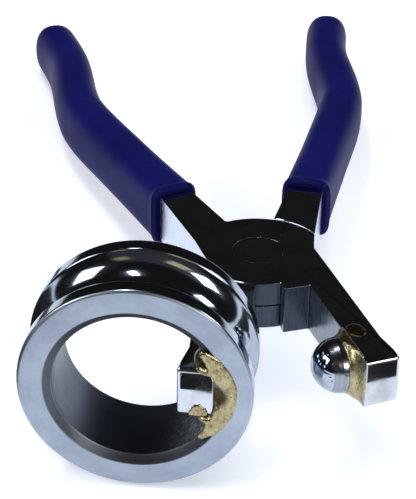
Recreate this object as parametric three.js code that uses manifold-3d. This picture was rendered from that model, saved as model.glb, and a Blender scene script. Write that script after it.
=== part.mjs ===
// Lap-joint forming pliers, about 200 mm long, with dipped vinyl grips.
// A grooved ring is brazed to the lower lever's jaw and a domed stud to the upper lever's jaw.
// When the handles close, the dome nests in the ring's groove.
//
// Frame, in millimetres: Z is the pivot axis and +Y runs towards the handles. The origin is on the
// pivot axis at the joint's underside, so the levers' flats lie at z = 0 and z = THICKNESS.
//
// One lever pattern serves for both levers. It is drawn closed, about the pivot, with its handle
// at -X and its jaw at +X. The upper lever is the pattern turned by +HALF_OPENING about Z. The
// lower lever is the pattern rolled half a turn about Y, and then turned by -HALF_OPENING.

import * as THREE from 'three';
import { mergeVertices } from 'three/addons/utils/BufferGeometryUtils.js';
import Module from 'manifold-3d';

const wasm = await Module();
wasm.setup();

// ---- driving dimensions ----

const HALF_OPENING = THREE.MathUtils.degToRad(10); // turn of each lever from closed, as it rests
const THICKNESS = 12; // over the flats of jaws, joint and tangs
const SEAT_GAP = 0.3; // between pieces that are brazed, dipped or lapped together

const PLATE_RADIUS = 16; // lap plate about the pivot
const PLATE_CLEARANCE = 0.3; // between a plate's rim and the other lever's full-thickness roots
const PLATE_SIDES = 72;
const FLANK_CORNER = [13.4, -2.7]; // where the jaw's outer edge meets the plate's ground flank
const FLANK_END_ANGLE = THREE.MathUtils.degToRad(12.3); // where that flank runs out on the rim

const OUTLINE_SEGMENTS = 16; // to each arc of a plan outline

const RIVET_RADIUS = 5;
const RIVET_HEAD_RADIUS = 6.2;
const RIVET_HEAD_DEPTH = 1.6;
const RIVET_CLEARANCE = 0.08;
const RIVET_SIDES = 48;

const JAW_LENGTH = 53.2; // pivot axis to the tip
const JAW_WIDTH = 8.1; // at the tip
const WAIST_SETBACK = 9.2; // from the tip to where the jaw is narrowest
const JAW_WAIST = [13.9, -(JAW_LENGTH - WAIST_SETBACK)]; // on its outer edge
const JAW_ROOT_INNER = 6.3; // inner face from the centreline at the throat
const UPPER_TIP_INNER = 7.0; // and at the tip of the jaw with the dome
const LOWER_TIP_INNER = 7.8; // and at the tip of the jaw with the ring, which is set out a little
const TIP_SLANT = 0.5; // the tip's outer corner falls short by this
const TIP_ROUND = 0.8; // rounding of that corner
const SHOULDER_STEP = 2.9; // closing shoulder's front beyond the plate's rim
const SHOULDER_GAP = 0.3; // left between the two shoulders when closed

const TANG_WIDTH = 8.6; // bare steel at the grip's mouth
const TANG_OUTER_ROOT = 13.3; // outer edge from the centreline, beside the pivot
const TANG_INNER_ROOT = 3.3; // inner edge from the centreline, at the plate's rim
const HANDLE_PATH = [ // centreline from the grip's mouth to its end, drawn at +X
  [11.1, 33],
  [16.5, 64],
  [20.3, 88],
  [20.2, 102],
  [16.9, 127],
  [17.0, 151],
];
const CORE_END_SHORTFALL = 5; // steel core ends this far before the grip does
const CORE_SQUARENESS_MOUTH = 8; // superellipse exponent of the steel core's section
const CORE_SQUARENESS_END = 3;
const CORE_OVERLAP = 3; // the core starts this far inside the tang

const GRIP_WALL = 1.8;
const GRIP_SQUARENESS_MOUTH = 4.5;
const GRIP_SQUARENESS_END = 2.4;
const GRIP_TIP_ROUND = 7; // length over which the grip's end closes
const HANDLE_SIDES = 20; // facets round a handle's section
const HANDLE_STATIONS = 14; // sections along it, short of the rounded end
const TIP_STEPS = 4; // sections in the rounded end
const TIP_SHARE = 0.93; // how much of the quarter round is made before the flat cap

const RING_BORE_RADIUS = 18.2;
const RING_WALL = 3; // between the bore and the bottom of the groove
const RING_LEAN = THREE.MathUtils.degToRad(2.9); // brazed on by hand, it leans back and upwards
const RING_RISE = 0.5; // and its middle lies this far above the levers' mid-plane
const RING_PROUD = 0.8; // its front face stands this far past the jaw's tip
const RING_FLANGE = 4; // land on each side of the groove
const RING_CHAMFER_WIDTH = 2; // bore chamfer, across the ring's face
const RING_CHAMFER_DEPTH = 1.4; // and down the bore
const RING_EDGE_ROUND = 0.8; // broken outer edges
const GROOVE_CLEARANCE = 0.3; // between the dome's radius and the groove's
const GROOVE_DEPTH = 4.6;
const RING_SIDES = 56;
const GROOVE_STEPS = 8;

const DOME_RADIUS = 6.3;
const FORMING_GAP = 1.4; // left between the dome's nose and the groove's bottom when closed
const DOME_SIDES = 32;
const DOME_STEPS = 7;

const BRAZE_SPREAD_ANGLE = THREE.MathUtils.degToRad(33); // each way round the bore from the jaw
const BRAZE_FILLET = 3; // reach of the braze onto the jaw's flats
const BRAZE_DEPTH = 17; // reach down the bore from the ring's front face
const BRAZE_SPILL = 2.4; // reach of the braze that ran over the ring's front face
const BRAZE_SPILL_THICKNESS = 0.5;
const COLLAR_REACH = 3; // spread of the dome's braze along the jaw past the skirt
const COLLAR_EDGE = 0.6; // its thickness at the rim

// ---- what follows from them ----

const HALF_THICKNESS = THICKNESS / 2;
const SHOULDER_FRONT = PLATE_RADIUS + SHOULDER_STEP;
const GROOVE_RADIUS = DOME_RADIUS + GROOVE_CLEARANCE;
const RING_RADIUS = RING_BORE_RADIUS + RING_WALL + GROOVE_DEPTH;
const RING_FACE_RADIUS = RING_BORE_RADIUS + RING_CHAMFER_WIDTH;
const GROOVE_HALF_OPENING = Math.sqrt(GROOVE_RADIUS ** 2 - (GROOVE_RADIUS - GROOVE_DEPTH) ** 2);
const RING_WIDTH = 2 * (GROOVE_HALF_OPENING + RING_FLANGE);
const RELIEF_RADIUS = PLATE_RADIUS + PLATE_CLEARANCE;

// Jaw's inner face to the ring's axis: the bore passes through the jaw's two inner edges, which are
// ground back to clear it.
const SEAT_OFFSET = Math.sqrt(RING_BORE_RADIUS ** 2 - HALF_THICKNESS ** 2);
const RING_SETBACK = RING_WIDTH / 2 - RING_PROUD; // jaw tip to the ring's middle
const DOME_SETBACK = RING_SETBACK; // and to the dome's axis, so that it meets the groove
const GROOVE_FLOOR = RING_BORE_RADIUS + RING_WALL - SEAT_OFFSET; // above the ring's own jaw
const JAWS_APART = innerFaceAt(UPPER_TIP_INNER, DOME_SETBACK) + innerFaceAt(LOWER_TIP_INNER, DOME_SETBACK);
const DOME_SKIRT = JAWS_APART - GROOVE_FLOOR - FORMING_GAP - DOME_RADIUS; // straight, at the jaw

function jawSlope(tipInner) {
  return Math.atan2(tipInner - JAW_ROOT_INNER, JAW_LENGTH - SHOULDER_FRONT);
}

// A jaw's inner face from the centreline when closed, at a distance back from its tip.
function innerFaceAt(tipInner, fromTip) {
  return tipInner - fromTip * Math.tan(jawSlope(tipInner));
}

// ---- solids ----

function toSolid(geometry) {
  const bare = geometry.index ? geometry.toNonIndexed() : geometry.clone();
  bare.deleteAttribute('normal');
  bare.deleteAttribute('uv');
  const merged = mergeVertices(bare, 1e-5);
  return new wasm.Manifold(new wasm.Mesh({
    numProp: 3,
    vertProperties: new Float32Array(merged.attributes.position.array),
    triVerts: new Uint32Array(merged.index.array),
  }));
}

function toGeometry(solid) {
  const mesh = solid.getMesh();
  const geometry = new THREE.BufferGeometry();
  geometry.setAttribute('position', new THREE.BufferAttribute(new Float32Array(mesh.vertProperties), 3));
  geometry.setIndex(new THREE.BufferAttribute(new Uint32Array(mesh.triVerts), 1));
  geometry.computeVertexNormals();
  return geometry;
}

// A plan outline as a solid between two heights.
function slab(shape, low, high) {
  const geometry = new THREE.ExtrudeGeometry(shape, {
    depth: high - low,
    bevelEnabled: false,
    curveSegments: OUTLINE_SEGMENTS,
  });
  geometry.translate(0, 0, low);
  return geometry;
}

// A turned solid about Z, from [radius, z] points that start and end on the axis or close.
function turned(points, sides) {
  const profile = points.map(([radius, z]) => new THREE.Vector2(radius, z));
  const geometry = new THREE.LatheGeometry(profile, sides);
  geometry.rotateX(Math.PI / 2);
  return geometry;
}

// A closed skin over a row of matching rings of points, with a flat cap at each end.
function loft(rings) {
  const around = rings[0].length;
  const position = [];
  const index = [];
  rings.forEach((ring) => ring.forEach((point) => position.push(point.x, point.y, point.z)));
  for (let row = 0; row < rings.length - 1; row += 1) {
    for (let step = 0; step < around; step += 1) {
      const next = (step + 1) % around;
      const a = row * around + step;
      const b = row * around + next;
      index.push(a, b, a + around);
      index.push(b, b + around, a + around);
    }
  }
  [0, rings.length - 1].forEach((row) => {
    const centre = new THREE.Vector3();
    rings[row].forEach((point) => centre.addScaledVector(point, 1 / around));
    const hub = position.length / 3;
    position.push(centre.x, centre.y, centre.z);
    for (let step = 0; step < around; step += 1) {
      const a = row * around + step;
      const b = row * around + ((step + 1) % around);
      index.push(...(row === 0 ? [hub, b, a] : [hub, a, b]));
    }
  });
  const geometry = new THREE.BufferGeometry();
  geometry.setAttribute('position', new THREE.Float32BufferAttribute(position, 3));
  geometry.setIndex(index);
  return geometry;
}

// ---- lever ----

function rimPoint(angle, radius = PLATE_RADIUS) {
  return new THREE.Vector2(radius * Math.cos(angle), radius * Math.sin(angle));
}

// Plan outline of the jaw, the shoulder, the lap plate and the bare tang.
function leverOutline(jawTipInner) {
  const shoulderSide = SHOULDER_GAP / 2;
  const tipInner = new THREE.Vector2(jawTipInner, -JAW_LENGTH);
  const tipOuter = new THREE.Vector2(jawTipInner + JAW_WIDTH, -JAW_LENGTH + TIP_SLANT);
  const flankEnd = rimPoint(FLANK_END_ANGLE);
  const innerRootAngle = Math.acos(-TANG_INNER_ROOT / PLATE_RADIUS);
  const outerRootAngle = 2 * Math.PI - Math.acos(-TANG_OUTER_ROOT / PLATE_RADIUS);
  const shoulderAngle = 2 * Math.PI - Math.acos(shoulderSide / PLATE_RADIUS);
  const curve = handleCurve();
  const along = curve.getTangentAt(0);
  const mouth = curve.getPointAt(0).addScaledVector(along, -SEAT_GAP);
  const across = new THREE.Vector2(along.y, -along.x).multiplyScalar(TANG_WIDTH / 2);

  const shape = new THREE.Shape();
  shape.moveTo(shoulderSide, -SHOULDER_FRONT);
  shape.lineTo(JAW_ROOT_INNER, -SHOULDER_FRONT);
  shape.lineTo(tipInner.x, tipInner.y);
  shape.lineTo(tipOuter.x - TIP_ROUND, tipOuter.y - TIP_SLANT * (TIP_ROUND / JAW_WIDTH));
  shape.quadraticCurveTo(tipOuter.x, tipOuter.y, tipOuter.x, tipOuter.y + TIP_ROUND);
  shape.lineTo(JAW_WAIST[0], JAW_WAIST[1]);
  shape.lineTo(FLANK_CORNER[0], FLANK_CORNER[1]);
  shape.lineTo(flankEnd.x, flankEnd.y);
  shape.absarc(0, 0, PLATE_RADIUS, FLANK_END_ANGLE, innerRootAngle, false);
  shape.lineTo(mouth.x + across.x, mouth.y + across.y);
  shape.lineTo(mouth.x - across.x, mouth.y - across.y);
  shape.lineTo(-TANG_OUTER_ROOT, PLATE_RADIUS / 2);
  shape.absarc(0, 0, PLATE_RADIUS, outerRootAngle, shoulderAngle, false);
  shape.closePath();
  return shape;
}

// Centreline of the handle at -X, in plan.
function handleCurve() {
  return new THREE.CatmullRomCurve3(
    HANDLE_PATH.map(([x, y]) => new THREE.Vector3(-x, y, 0)),
    false,
    'catmullrom',
    0.5,
  );
}

// One superellipse section across the handle, at a share of the path.
function handleSection(curve, share, halfWidth, halfHeight, squareness) {
  const at = THREE.MathUtils.clamp(share, 0, 1);
  const centre = curve.getPointAt(at);
  const along = curve.getTangentAt(at);
  centre.addScaledVector(along, (share - at) * curve.getLength());
  const across = new THREE.Vector3(along.y, -along.x, 0);
  const ring = [];
  for (let step = 0; step < HANDLE_SIDES; step += 1) {
    const angle = (2 * Math.PI * (step + 0.5)) / HANDLE_SIDES;
    const u = Math.cos(angle);
    const v = Math.sin(angle);
    const reach = (Math.abs(u) ** squareness + Math.abs(v) ** squareness) ** (-1 / squareness);
    const point = centre.clone().addScaledVector(across, -halfWidth * reach * u);
    point.z += halfHeight * reach * v;
    ring.push(point);
  }
  return ring;
}

// The handle's section swept from one share of the path to another, swollen by grow all round.
// Its end closes over the given length, and its section runs from squareMouth to squareEnd.
function handleBar({ start, end, grow, squareMouth, squareEnd, round }) {
  const curve = handleCurve();
  const roundShare = round / curve.getLength();
  const roundStart = end - roundShare;
  const shares = [];
  for (let step = 0; step <= HANDLE_STATIONS; step += 1) {
    shares.push(THREE.MathUtils.lerp(start, roundStart, step / HANDLE_STATIONS));
  }
  for (let step = 1; step <= TIP_STEPS; step += 1) {
    const angle = (Math.PI / 2) * TIP_SHARE * (step / TIP_STEPS);
    shares.push(roundStart + roundShare * Math.sin(angle));
  }
  return loft(shares.map((share) => {
    const into = Math.max(0, (share - roundStart) / roundShare);
    const close = Math.sqrt(1 - into ** 2);
    const blend = Math.sqrt(THREE.MathUtils.clamp(share, 0, 1));
    return handleSection(
      curve,
      share,
      (TANG_WIDTH / 2 + grow) * close,
      (HALF_THICKNESS + grow) * close,
      THREE.MathUtils.lerp(squareMouth, squareEnd, blend),
    );
  }));
}

// Steel core inside the grip, or, swollen by grow, the pocket that holds it.
function coreBar(grow) {
  const length = handleCurve().getLength();
  const overlap = CORE_OVERLAP + grow;
  return handleBar({
    start: -overlap / length,
    end: 1 - (CORE_END_SHORTFALL - grow) / length,
    grow,
    squareMouth: CORE_SQUARENESS_MOUTH,
    squareEnd: CORE_SQUARENESS_END,
    round: GRIP_TIP_ROUND - GRIP_WALL,
  });
}

// Profile of the rivet with its two countersunk heads, flush with the flats.
const RIVET_NECK = HALF_THICKNESS - RIVET_HEAD_DEPTH;
const rivetProfile = [
  [0, -HALF_THICKNESS],
  [RIVET_HEAD_RADIUS, -HALF_THICKNESS],
  [RIVET_RADIUS, -RIVET_NECK],
  [RIVET_RADIUS, RIVET_NECK],
  [RIVET_HEAD_RADIUS, HALF_THICKNESS],
  [0, HALF_THICKNESS],
];

// Profile of the bore that clears it, run past both flats.
const boreProfile = [
  [0, -THICKNESS],
  [RIVET_HEAD_RADIUS + RIVET_CLEARANCE, -THICKNESS],
  ...rivetProfile.slice(1, -1).map(([radius, z]) => [radius + RIVET_CLEARANCE, z]),
  [RIVET_HEAD_RADIUS + RIVET_CLEARANCE, THICKNESS],
  [0, THICKNESS],
];

// Steel lever about the mid-plane, with its half-thickness plate above the lap.
function leverSolid(jawTipInner) {
  const body = toSolid(slab(leverOutline(jawTipInner), -HALF_THICKNESS, HALF_THICKNESS));
  const relief = toSolid(turned(
    [
      [0, -THICKNESS],
      [RELIEF_RADIUS, -THICKNESS],
      [RELIEF_RADIUS, SEAT_GAP / 2],
      [0, SEAT_GAP / 2],
    ],
    PLATE_SIDES,
  ));
  const bore = toSolid(turned(boreProfile, RIVET_SIDES));
  return body.add(toSolid(coreBar(0))).subtract(relief).subtract(bore);
}

// Dipped grip: a coat round the core, open at the mouth and closed over the core's end.
function gripGeometry() {
  const coat = toSolid(handleBar({
    start: 0,
    end: 1,
    grow: GRIP_WALL,
    squareMouth: GRIP_SQUARENESS_MOUTH,
    squareEnd: GRIP_SQUARENESS_END,
    round: GRIP_TIP_ROUND,
  }));
  return toGeometry(coat.subtract(toSolid(coreBar(SEAT_GAP))));
}

// ---- pieces on the jaws ----
// They are made in the seat frame: origin on the jaw's inner face at the tip's mid-height, with
// +X away from the jaw, towards the other one, and +Y along the jaw, towards the pivot.

function ringProfile() {
  const half = RING_WIDTH / 2;
  const arcHeight = RING_RADIUS + GROOVE_RADIUS - GROOVE_DEPTH;
  const sweep = Math.asin(GROOVE_HALF_OPENING / GROOVE_RADIUS);
  const points = [
    [RING_BORE_RADIUS, -half + RING_CHAMFER_DEPTH],
    [RING_FACE_RADIUS, -half],
    [RING_RADIUS - RING_EDGE_ROUND, -half],
    [RING_RADIUS, -half + RING_EDGE_ROUND],
  ];
  for (let step = 0; step <= GROOVE_STEPS; step += 1) {
    const angle = THREE.MathUtils.lerp(-sweep, sweep, step / GROOVE_STEPS);
    points.push([arcHeight - GROOVE_RADIUS * Math.cos(angle), GROOVE_RADIUS * Math.sin(angle)]);
  }
  points.push(
    [RING_RADIUS, half - RING_EDGE_ROUND],
    [RING_RADIUS - RING_EDGE_ROUND, half],
    [RING_FACE_RADIUS, half],
    [RING_BORE_RADIUS, half - RING_CHAMFER_DEPTH],
    [RING_BORE_RADIUS, -half + RING_CHAMFER_DEPTH],
  );
  return points;
}

// The ring stands on its jaw's inner face, and its centre lies behind that face, so the jaw passes
// inside it. The ring frame has its origin at the ring's middle and +Y along its axis, towards the
// pivot.
function ringSeat() {
  const group = new THREE.Group();
  group.position.set(-SEAT_OFFSET, RING_SETBACK, RING_RISE);
  group.rotation.x = RING_LEAN;
  return group;
}

function turnedOnRing(points) {
  return turned(points, RING_SIDES).rotateX(-Math.PI / 2);
}

function ringGeometry() {
  return turnedOnRing(ringProfile());
}

// Profile of the stud: skirt at the jaw and dome at the nose, swollen by grow.
function domeProfile(grow) {
  const points = [[0, SEAT_GAP - grow], [DOME_RADIUS + grow, SEAT_GAP - grow]];
  for (let step = 0; step < DOME_STEPS; step += 1) {
    const angle = ((Math.PI / 2) * step) / DOME_STEPS;
    points.push([
      (DOME_RADIUS + grow) * Math.cos(angle),
      DOME_SKIRT + (DOME_RADIUS + grow) * Math.sin(angle),
    ]);
  }
  points.push([0, DOME_SKIRT + DOME_RADIUS + grow]);
  return points;
}

function placeOnDome(geometry) {
  geometry.rotateY(Math.PI / 2);
  geometry.translate(0, DOME_SETBACK, 0);
  return geometry;
}

function domeGeometry() {
  return placeOnDome(turned(domeProfile(0), DOME_SIDES));
}

// Braze collar: a foot on the jaw's inner face that narrows to the dome's skirt.
function domeBrazeGeometry() {
  const around = 36;
  const levels = [
    { height: SEAT_GAP, spread: 1 },
    { height: SEAT_GAP + COLLAR_EDGE, spread: 1 },
    { height: SEAT_GAP + COLLAR_EDGE + (DOME_SKIRT - COLLAR_EDGE) / 2, spread: 0.35 },
    { height: SEAT_GAP + DOME_SKIRT, spread: 0 },
  ];
  const neck = DOME_RADIUS + 2 * SEAT_GAP;
  const rings = levels.map(({ height, spread }) => {
    const ring = [];
    for (let step = 0; step < around; step += 1) {
      const angle = (2 * Math.PI * step) / around;
      const along = (neck + COLLAR_REACH * spread) * Math.cos(angle);
      const upright = THREE.MathUtils.lerp(neck, HALF_THICKNESS + 1, spread) * Math.sin(angle);
      ring.push(new THREE.Vector3(height, DOME_SETBACK + along, upright));
    }
    return ring;
  });
  const stud = toSolid(placeOnDome(turned(domeProfile(SEAT_GAP), DOME_SIDES)));
  return toGeometry(toSolid(loft(rings)).subtract(stud));
}

// Outline of the poured braze across the bore, out to a radius and in to the jaw's flats.
function pouredOutline(outerRadius) {
  const wall = RING_BORE_RADIUS - SEAT_GAP;
  const start = rimPoint(BRAZE_SPREAD_ANGLE, wall);
  const inner = SEAT_OFFSET - BRAZE_FILLET;
  const shape = new THREE.Shape();
  shape.absarc(0, 0, outerRadius, -BRAZE_SPREAD_ANGLE, BRAZE_SPREAD_ANGLE, false);
  shape.lineTo(start.x, start.y);
  shape.lineTo(inner, HALF_THICKNESS);
  shape.lineTo(inner, -HALF_THICKNESS);
  shape.lineTo(start.x, -start.y);
  shape.closePath();
  return shape;
}

// The ring as the braze sees it: bore, chamfer and front face moved out by the seat gap.
function ringKeepOut() {
  const half = RING_WIDTH / 2;
  const bore = RING_BORE_RADIUS - SEAT_GAP;
  return turnedOnRing([
    [bore, -half + RING_CHAMFER_DEPTH - SEAT_GAP / 2],
    [RING_FACE_RADIUS - SEAT_GAP / 2, -half - SEAT_GAP],
    [RING_RADIUS, -half - SEAT_GAP],
    [RING_RADIUS, half],
    [bore, half],
    [bore, -half + RING_CHAMFER_DEPTH - SEAT_GAP / 2],
  ]);
}

// The jaw as the braze sees it, in the ring frame: its inner face and flats moved out by the gap.
function jawKeepOut() {
  const seat = ringSeat();
  seat.updateMatrix();
  const jaw = new THREE.BoxGeometry(2 * SEAT_OFFSET, 4 * RING_WIDTH, THICKNESS + 2 * SEAT_GAP);
  jaw.translate(-SEAT_OFFSET + SEAT_GAP, 0, 0);
  return jaw.applyMatrix4(seat.matrix.clone().invert());
}

// Braze between the bore and the jaw: a plug down the bore on the jaw's inner face and beside its
// flats, joined in the chamfer to what ran over the ring's front face.
function ringBrazeGeometry() {
  const front = -RING_WIDTH / 2;
  const lid = front - SEAT_GAP - BRAZE_SPILL_THICKNESS;
  const bore = RING_BORE_RADIUS - SEAT_GAP;
  const face = RING_FACE_RADIUS + BRAZE_SPILL;
  const plug = slab(pouredOutline(bore), lid, front + BRAZE_DEPTH).rotateX(-Math.PI / 2);
  const spill = slab(pouredOutline(face), lid, front + RING_CHAMFER_DEPTH).rotateX(-Math.PI / 2);
  const poured = toSolid(plug).add(toSolid(spill));
  return toGeometry(poured.subtract(toSolid(ringKeepOut())).subtract(toSolid(jawKeepOut())));
}

// The lower lever with its jaw's inner edges ground back, so that they clear the bore.
function lowerLeverGeometry() {
  const end = RING_WIDTH / 2 + SEAT_GAP;
  const bore = RING_BORE_RADIUS - SEAT_GAP;
  const ring = turnedOnRing([
    [bore, -end],
    [RING_RADIUS, -end],
    [RING_RADIUS, end],
    [bore, end],
    [bore, -end],
  ]);
  const seat = jawSeat(LOWER_TIP_INNER);
  seat.add(ringSeat());
  seat.updateMatrixWorld();
  ring.applyMatrix4(seat.children[0].matrixWorld);
  return toGeometry(leverSolid(LOWER_TIP_INNER).subtract(toSolid(ring)));
}

// ---- materials ----

const forgedSteel = new THREE.MeshStandardMaterial({ color: 0x8d939b, roughness: 0.25, metalness: 1 });
const turnedSteel = new THREE.MeshStandardMaterial({ color: 0xa9afb6, roughness: 0.18, metalness: 1 });
const rivetSteel = new THREE.MeshStandardMaterial({ color: 0x82878e, roughness: 0.3, metalness: 1 });
const brazeAlloy = new THREE.MeshStandardMaterial({ color: 0xc9a85c, roughness: 0.4, metalness: 1 });
const dippedVinyl = new THREE.MeshStandardMaterial({ color: 0x24246e, roughness: 0.55, metalness: 0 });

// ---- assembly ----

function piece(name, geometry, material) {
  const mesh = new THREE.Mesh(geometry, material);
  mesh.name = name;
  return mesh;
}

// The seat frame on the pattern's jaw, with +X turned round to face away from the jaw.
function jawSeat(jawTipInner) {
  const seat = new THREE.Group();
  seat.position.set(jawTipInner, -JAW_LENGTH, 0);
  seat.rotation.set(0, Math.PI, jawSlope(jawTipInner), 'ZYX');
  return seat;
}

function upperLever() {
  const group = new THREE.Group();
  group.rotation.z = HALF_OPENING;
  const seat = jawSeat(UPPER_TIP_INNER);
  seat.add(
    piece('dome_stud', domeGeometry(), turnedSteel),
    piece('dome_braze', domeBrazeGeometry(), brazeAlloy),
  );
  group.add(
    piece('upper_lever', toGeometry(leverSolid(UPPER_TIP_INNER)), forgedSteel),
    piece('left_grip', gripGeometry(), dippedVinyl),
    piece('pivot_rivet', turned(rivetProfile, RIVET_SIDES), rivetSteel),
    seat,
  );
  return group;
}

function lowerLever() {
  const group = new THREE.Group();
  group.rotation.set(0, Math.PI, -HALF_OPENING, 'ZYX');
  const ring = ringSeat();
  ring.add(
    piece('groove_ring', ringGeometry(), turnedSteel),
    piece('ring_braze', ringBrazeGeometry(), brazeAlloy),
  );
  const seat = jawSeat(LOWER_TIP_INNER);
  seat.add(ring);
  group.add(
    piece('lower_lever', lowerLeverGeometry(), forgedSteel),
    piece('right_grip', gripGeometry(), dippedVinyl),
    seat,
  );
  return group;
}

const pliers = new THREE.Group();
pliers.position.z = HALF_THICKNESS;
pliers.add(upperLever(), lowerLever());

export default pliers;
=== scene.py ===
"""Ring and dome forming pliers: the finished look of each piece, built around the packed frame.

Lengths are metres, in the frame's own axes: Z is the pivot axis and +Y runs towards the handles.
Each piece is drawn in its own maker's frame and placed where the frame has it:
- a lever about the pivot, closed, with its handle at -X and its jaw at +X;
- what is brazed to a jaw from a seat on the jaw's inner face at the tip.
"""

import math

import bmesh
import bpy
import numpy as np
from mathutils import Matrix, Vector


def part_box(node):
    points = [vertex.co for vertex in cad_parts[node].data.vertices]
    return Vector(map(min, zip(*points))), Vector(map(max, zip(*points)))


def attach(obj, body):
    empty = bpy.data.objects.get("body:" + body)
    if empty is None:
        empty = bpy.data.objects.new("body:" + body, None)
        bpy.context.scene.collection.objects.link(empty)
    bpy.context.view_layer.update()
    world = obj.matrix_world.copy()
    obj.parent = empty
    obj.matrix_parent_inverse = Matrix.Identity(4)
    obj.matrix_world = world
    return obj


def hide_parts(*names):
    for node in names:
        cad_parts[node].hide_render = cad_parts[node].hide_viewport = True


bl_info = {
    "name": "Ring and Dome Forming Pliers",
    "version": (1, 0, 0),
    "blender": (4, 5, 0),
    "location": "View3D > Sidebar > Pliers",
    "description": "Builds lap-joint pliers with a brazed groove ring and dome",
    "category": "Add Mesh",
}

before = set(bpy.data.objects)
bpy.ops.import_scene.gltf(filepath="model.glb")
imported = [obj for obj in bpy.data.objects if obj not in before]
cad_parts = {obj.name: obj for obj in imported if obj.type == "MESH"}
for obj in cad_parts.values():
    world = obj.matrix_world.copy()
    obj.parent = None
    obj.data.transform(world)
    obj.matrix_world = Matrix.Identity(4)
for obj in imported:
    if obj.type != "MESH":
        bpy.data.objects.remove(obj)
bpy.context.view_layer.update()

MM = 0.001

RIVET_LOW, RIVET_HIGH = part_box("pivot_rivet")
THICKNESS = RIVET_HIGH.z - RIVET_LOW.z
HALF_THICKNESS = THICKNESS / 2
MID_PLANE = Matrix.Translation((0, 0, (RIVET_HIGH.z + RIVET_LOW.z) / 2))
HALF_OPENING = math.radians(10)
LAP_GAP = 0.3 * MM  # between the two lap plates, and round each plate's rim


# ---- sizes and colours that a user would change ----


def length(label, description, value):
    return bpy.props.FloatProperty(
        name=label, description=description, default=value, unit="LENGTH", precision=5
    )


def colour(label, description, value):
    return bpy.props.StringProperty(name=label, description=description, default=value)


def number(label, description, value):
    return bpy.props.FloatProperty(name=label, description=description, default=value)


class LeverSizes(bpy.types.PropertyGroup):
    """Sizes of the two forged levers."""

    plate_radius: length("Plate radius", "Lap plate about the pivot", 16 * MM)
    jaw_length: length("Jaw length", "Pivot axis to the jaw's tip", 53.2 * MM)
    jaw_width: length("Jaw width", "Across the jaw at its tip", 8.1 * MM)
    tang_width: length("Tang width", "Bare steel at the grip's mouth", 8.6 * MM)
    edge: length("Edge round", "Broken edges of the flats", 0.32 * MM)
    tip_edge: length("Tip round", "Rounded edges of the jaw's end", 1.2 * MM)
    rivet_edge: length("Rivet seam", "Fine bevel where the rivet shows", 0.008 * MM)


class GripSizes(bpy.types.PropertyGroup):
    """Sizes of the dipped grips."""

    wall: length("Coat", "Thickness of the vinyl coat", 1.8 * MM)
    lip: length("Lip height", "How far the rolled mouth stands proud", 0.22 * MM)
    lip_length: length("Lip length", "Length of the rolled mouth", 1.5 * MM)
    tip_round: length("End round", "Length over which the end closes", 7 * MM)


class TurnedSizes(bpy.types.PropertyGroup):
    """Sizes of the turned ring, the dome and the rivet."""

    bore_radius: length("Bore radius", "Inside of the ring", 18.2 * MM)
    ring_wall: length("Ring wall", "Between bore and groove", 3 * MM)
    groove_depth: length("Groove depth", "Depth of the forming groove", 4.6 * MM)
    flange: length("Flange", "Land on each side of the groove", 4 * MM)
    ring_edge: length("Ring edge", "Rounding of the ring's outer edges", 0.8 * MM)
    dome_radius: length("Dome radius", "Radius of the stud and its nose", 6.3 * MM)
    rivet_radius: length("Rivet head", "Radius of the flush rivet head", 6.2 * MM)


class BrazeLook(bpy.types.PropertyGroup):
    """How the poured braze is shaped."""

    swell: length("Swell", "How far the braze wets past its bed", 0.38 * MM)
    ripple: length("Ripple", "Height of the frozen ripples", 0.32 * MM)
    ripple_span: length("Ripple span", "Crest to crest of the ripples", 2.2 * MM)
    cell: length("Cell", "Mesh spacing of the poured surface", 0.3 * MM)
    seed: bpy.props.IntProperty(name="Seed", description="Ripple pattern", default=7)


class FinishColours(bpy.types.PropertyGroup):
    """Colours of the finishes, as sRGB hex."""

    steel: colour("Polished steel", "Forged and polished levers", "#BFC6D2")
    ground: colour("Ground steel", "Satin ground side faces", "#DAE3F0")
    turned: colour("Turned steel", "Faces of the ring and dome", "#A3ADBB")
    scale: colour("Oxide", "Heat oxide in the bore", "#2B2A2C")
    braze: colour("Braze", "Bright silicon-bronze braze", "#ABA380")
    braze_deep: colour("Braze, deep", "Braze in its hollows", "#6E5E34")
    flux: colour("Flux burn", "Burnt flux and copper bloom", "#3B2419")
    vinyl: colour("Vinyl", "Dipped grip", "#131553")
    vinyl_deep: colour("Vinyl, deep", "Thick vinyl at the lip", "#0E0D43")
    floor: colour("Floor", "Matt bench top", "#F4F6FA")


class StageLook(bpy.types.PropertyGroup):
    """Camera and light."""

    lens: number("Lens", "Focal length in millimetres on a 36 mm sensor", 129.86)
    distance: length("Camera distance", "From the point looked at", 441.16 * MM)
    azimuth: number("Azimuth", "Camera's turn about Z, in degrees", -7.285)
    elevation: number("Elevation", "Camera's height, in degrees", 29.382)
    roll: number("Roll", "Camera's roll, in degrees", 0.783)
    glow: number("Floor glow", "Light coming through the bench top", 0.35)


# ---- geometry helpers ----


def settings(group):
    """The values of one group of sizes or colours."""
    return getattr(bpy.context.scene, group)


def mesh_object(name, points, faces=(), edges=()):
    mesh = bpy.data.meshes.new(name)
    mesh.from_pydata([tuple(p) for p in points], edges, faces)
    made = bpy.data.objects.new(name, mesh)
    bpy.context.scene.collection.objects.link(made)
    return made


def evaluated_mesh(obj):
    """The mesh of obj with its modifiers applied."""
    bpy.context.view_layer.update()
    graph = bpy.context.evaluated_depsgraph_get()
    return bpy.data.meshes.new_from_object(obj.evaluated_get(graph), depsgraph=graph)


def bake_modifiers(obj):
    """Applies obj's modifiers to its own mesh."""
    mesh = evaluated_mesh(obj)
    old = obj.data
    obj.modifiers.clear()
    obj.data = mesh
    bpy.data.meshes.remove(old)
    return obj


def discard(obj):
    """Removes an object and its mesh."""
    mesh = obj.data
    bpy.data.objects.remove(obj)
    bpy.data.meshes.remove(mesh)


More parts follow.
